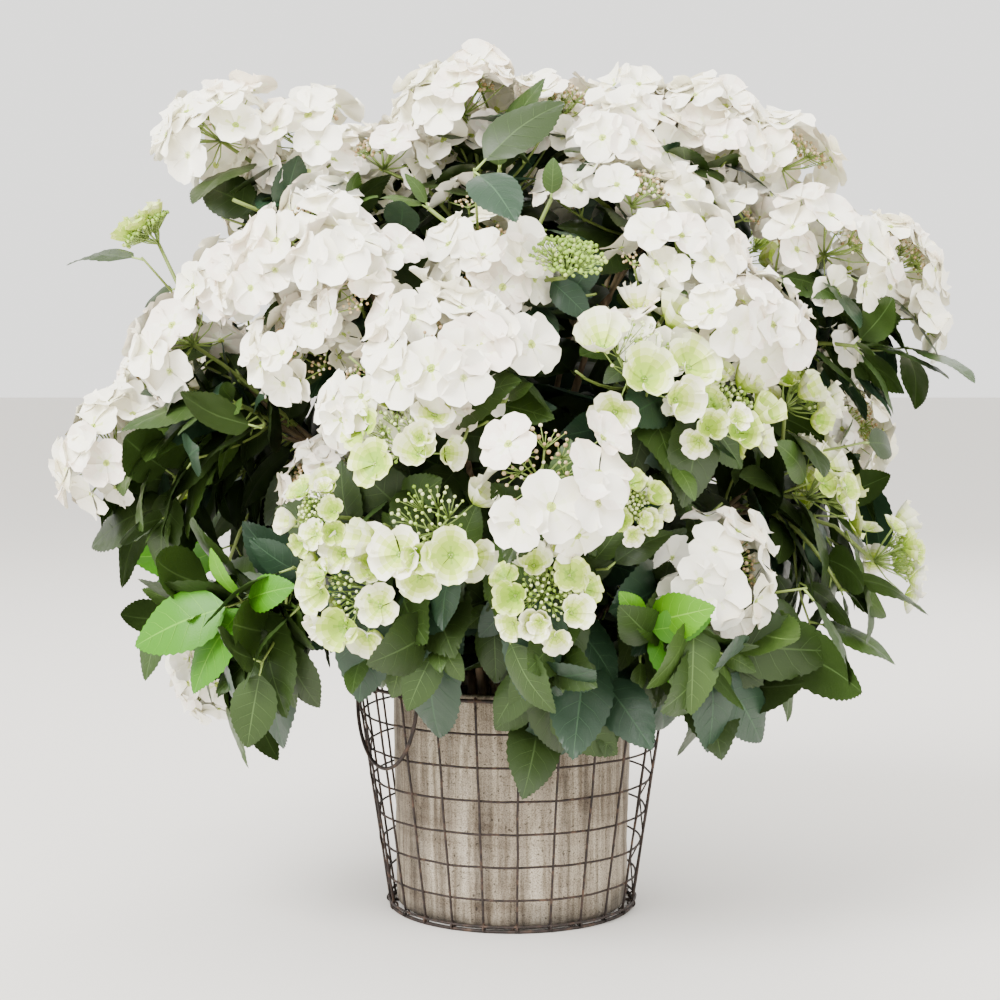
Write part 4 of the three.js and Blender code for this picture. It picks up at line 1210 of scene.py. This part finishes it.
BUDS = {  # how many, out to what share of the radius, their least and added size, and their tints
    "open": (78, 0.52, 1.1, 0.8, (0, 0, 1, 1, 2)), "young": (72, 0.52, 1.05, 0.6, (3, 5, 5, 4)),
    "bud": (150, 0.8, 1.2, 0.8, (3, 4, 4, 4)),
}


def grow_buds(bloom, at, more, collar, axes):
    """The small flower buds on a head's dome, on fine stalks that branch from the twig's end."""
    count, reach, least, added, tints = BUDS[bloom[4]]
    branches = [at(2 * math.pi * k / 7, 0.24, -0.1) for k in range(7)]
    for branch in branches:
        twig_pile.add(tube([collar, branch], [1.0, 0.8], 3), 2)
    for k in range(count):
        share = math.sqrt((k + 0.5) / count)
        angle = GOLDEN_ANGLE * k
        height = DOME["top"] - (DOME["top"] - DOME["shoulder"]) * share ** 2 - 0.12 * more()
        height -= 0.2 if bloom[4] == "open" else 0
        where = at(angle, reach * share, height)
        bud_pile.stamp(BUD, where, axes, least + added * more(), tints[int(len(tints) * more())])
        branch = min(branches, key=lambda b: np.linalg.norm(b - where))
        twig_pile.add(tube([branch, where], [0.45, 0.35], 3), 2)


def limbs():
    pile = Pile()
    for name, line in lines.items():
        points = bezier_points(line, 0, 1, 34)
        for i in (1, 2):
            points[i][:2] = points[0][:2] + (points[i][:2] - points[0][:2]) * 0.3 * i
        radii = []
        for i in range(35):
            share = i / 34
            if share < CANE_SHARE:
                radius = CANE_FOOT_RADIUS + (CANE_TIP_RADIUS - CANE_FOOT_RADIUS) * share / CANE_SHARE
            else:
                radius = CANE_TIP_RADIUS + (STEM_TIP_RADIUS - CANE_TIP_RADIUS) * (share / CANE_SHARE - 1)
            radii.append(radius + (CANE_FLARE * (1 - i / 2) if i < 2 else 0) + (0.5 if i % 8 == 5 else 0))
        pile.add(tube(points, radii, 12, relief=0.3))
    pile.make("cane_bark", [grained(*BARK)], "cane", [f"cane_{name}" for name in MASSES])


def plant():
    for number, name in enumerate(MASSES):
        for index, twig in enumerate(twigs[name]):
            grow_shoot((number, index), twig)
    for number, name in enumerate(MASSES):
        grow_cane_leaves(number, lines[name])
    greens = plain("leaf", BLADES, 0.45, 0.0003, COATS, 0.3) + plain("vein", VEINS, 0.5, 0.0002, (), 0.3)
    pieces = [(f"leaves_{k + 1}", pile, greens) for k, pile in enumerate(leaf_piles)]
    pieces.append(("twigs", twig_pile, plain("twig", TWIG_TINTS, 0.6, 0.0003)))
    petals = plain("petal", PETAL_TINTS, 0.55, 0.0002)
    pieces += [(f"blossom_{k + 1}", pile, petals) for k, pile in enumerate(blossom_piles)]
    pieces.append(("flower_buds", bud_pile, plain("bud", BUD_TINTS, 0.6, 0.0002)))
    for name, pile, materials in pieces:
        pile.make(name, materials, "foliage", [f"foliage_{mass}" for mass in MASSES])


# Stage

def stage():
    finish = Finish("floor", 0.8)
    finish.colour("dedad4")
    mesh = bpy.data.meshes.new("floor")
    mesh.from_pydata([(-30, -30, 0), (30, -30, 0), (30, 30, 0), (-30, 30, 0)], [], [(0, 1, 2, 3)])
    mesh.materials.append(finish.material)
    show("floor", mesh)
    world = bpy.data.worlds.new("pale")
    world.use_nodes = True
    sky = world.node_tree.nodes["Background"].inputs
    sky["Color"].default_value = linear("f6f5f2")
    sky["Strength"].default_value = 2.1
    bpy.context.scene.world = world
    lamps = (
        ("key", (-1.5, -1.9, 2.4), 1.8, 250), ("fill", (1.9, -1.6, 1.3), 2.2, 40),
        ("back", (0.7, 1.9, 2.2), 1.6, 60),
    )
    for name, place, size, power in lamps:
        data = bpy.data.lights.new(name, "AREA")
        data.size, data.energy = size, power
        lamp = show(name, data)
        lamp.location = place
        lamp.rotation_euler = (Vector((0, 0, 0.35)) - lamp.location).to_track_quat("-Z", "Y").to_euler()


def camera():
    data = bpy.data.cameras.new("camera")
    data.lens = CAMERA_LENS
    data.sensor_width = 36
    seen = show("camera", data)
    seen.location = Vector(CAMERA_AT) * MM
    seen.rotation_euler = (math.radians(90 - CAMERA_PITCH), 0, 0)
    bpy.context.scene.camera = seen


camera()
stage()
basket()
for handle, bearing in HANDLE_BEARINGS.items():
    drop_handle(handle, bearing)
cast_pot()
potting_soil()
limbs()
plant()
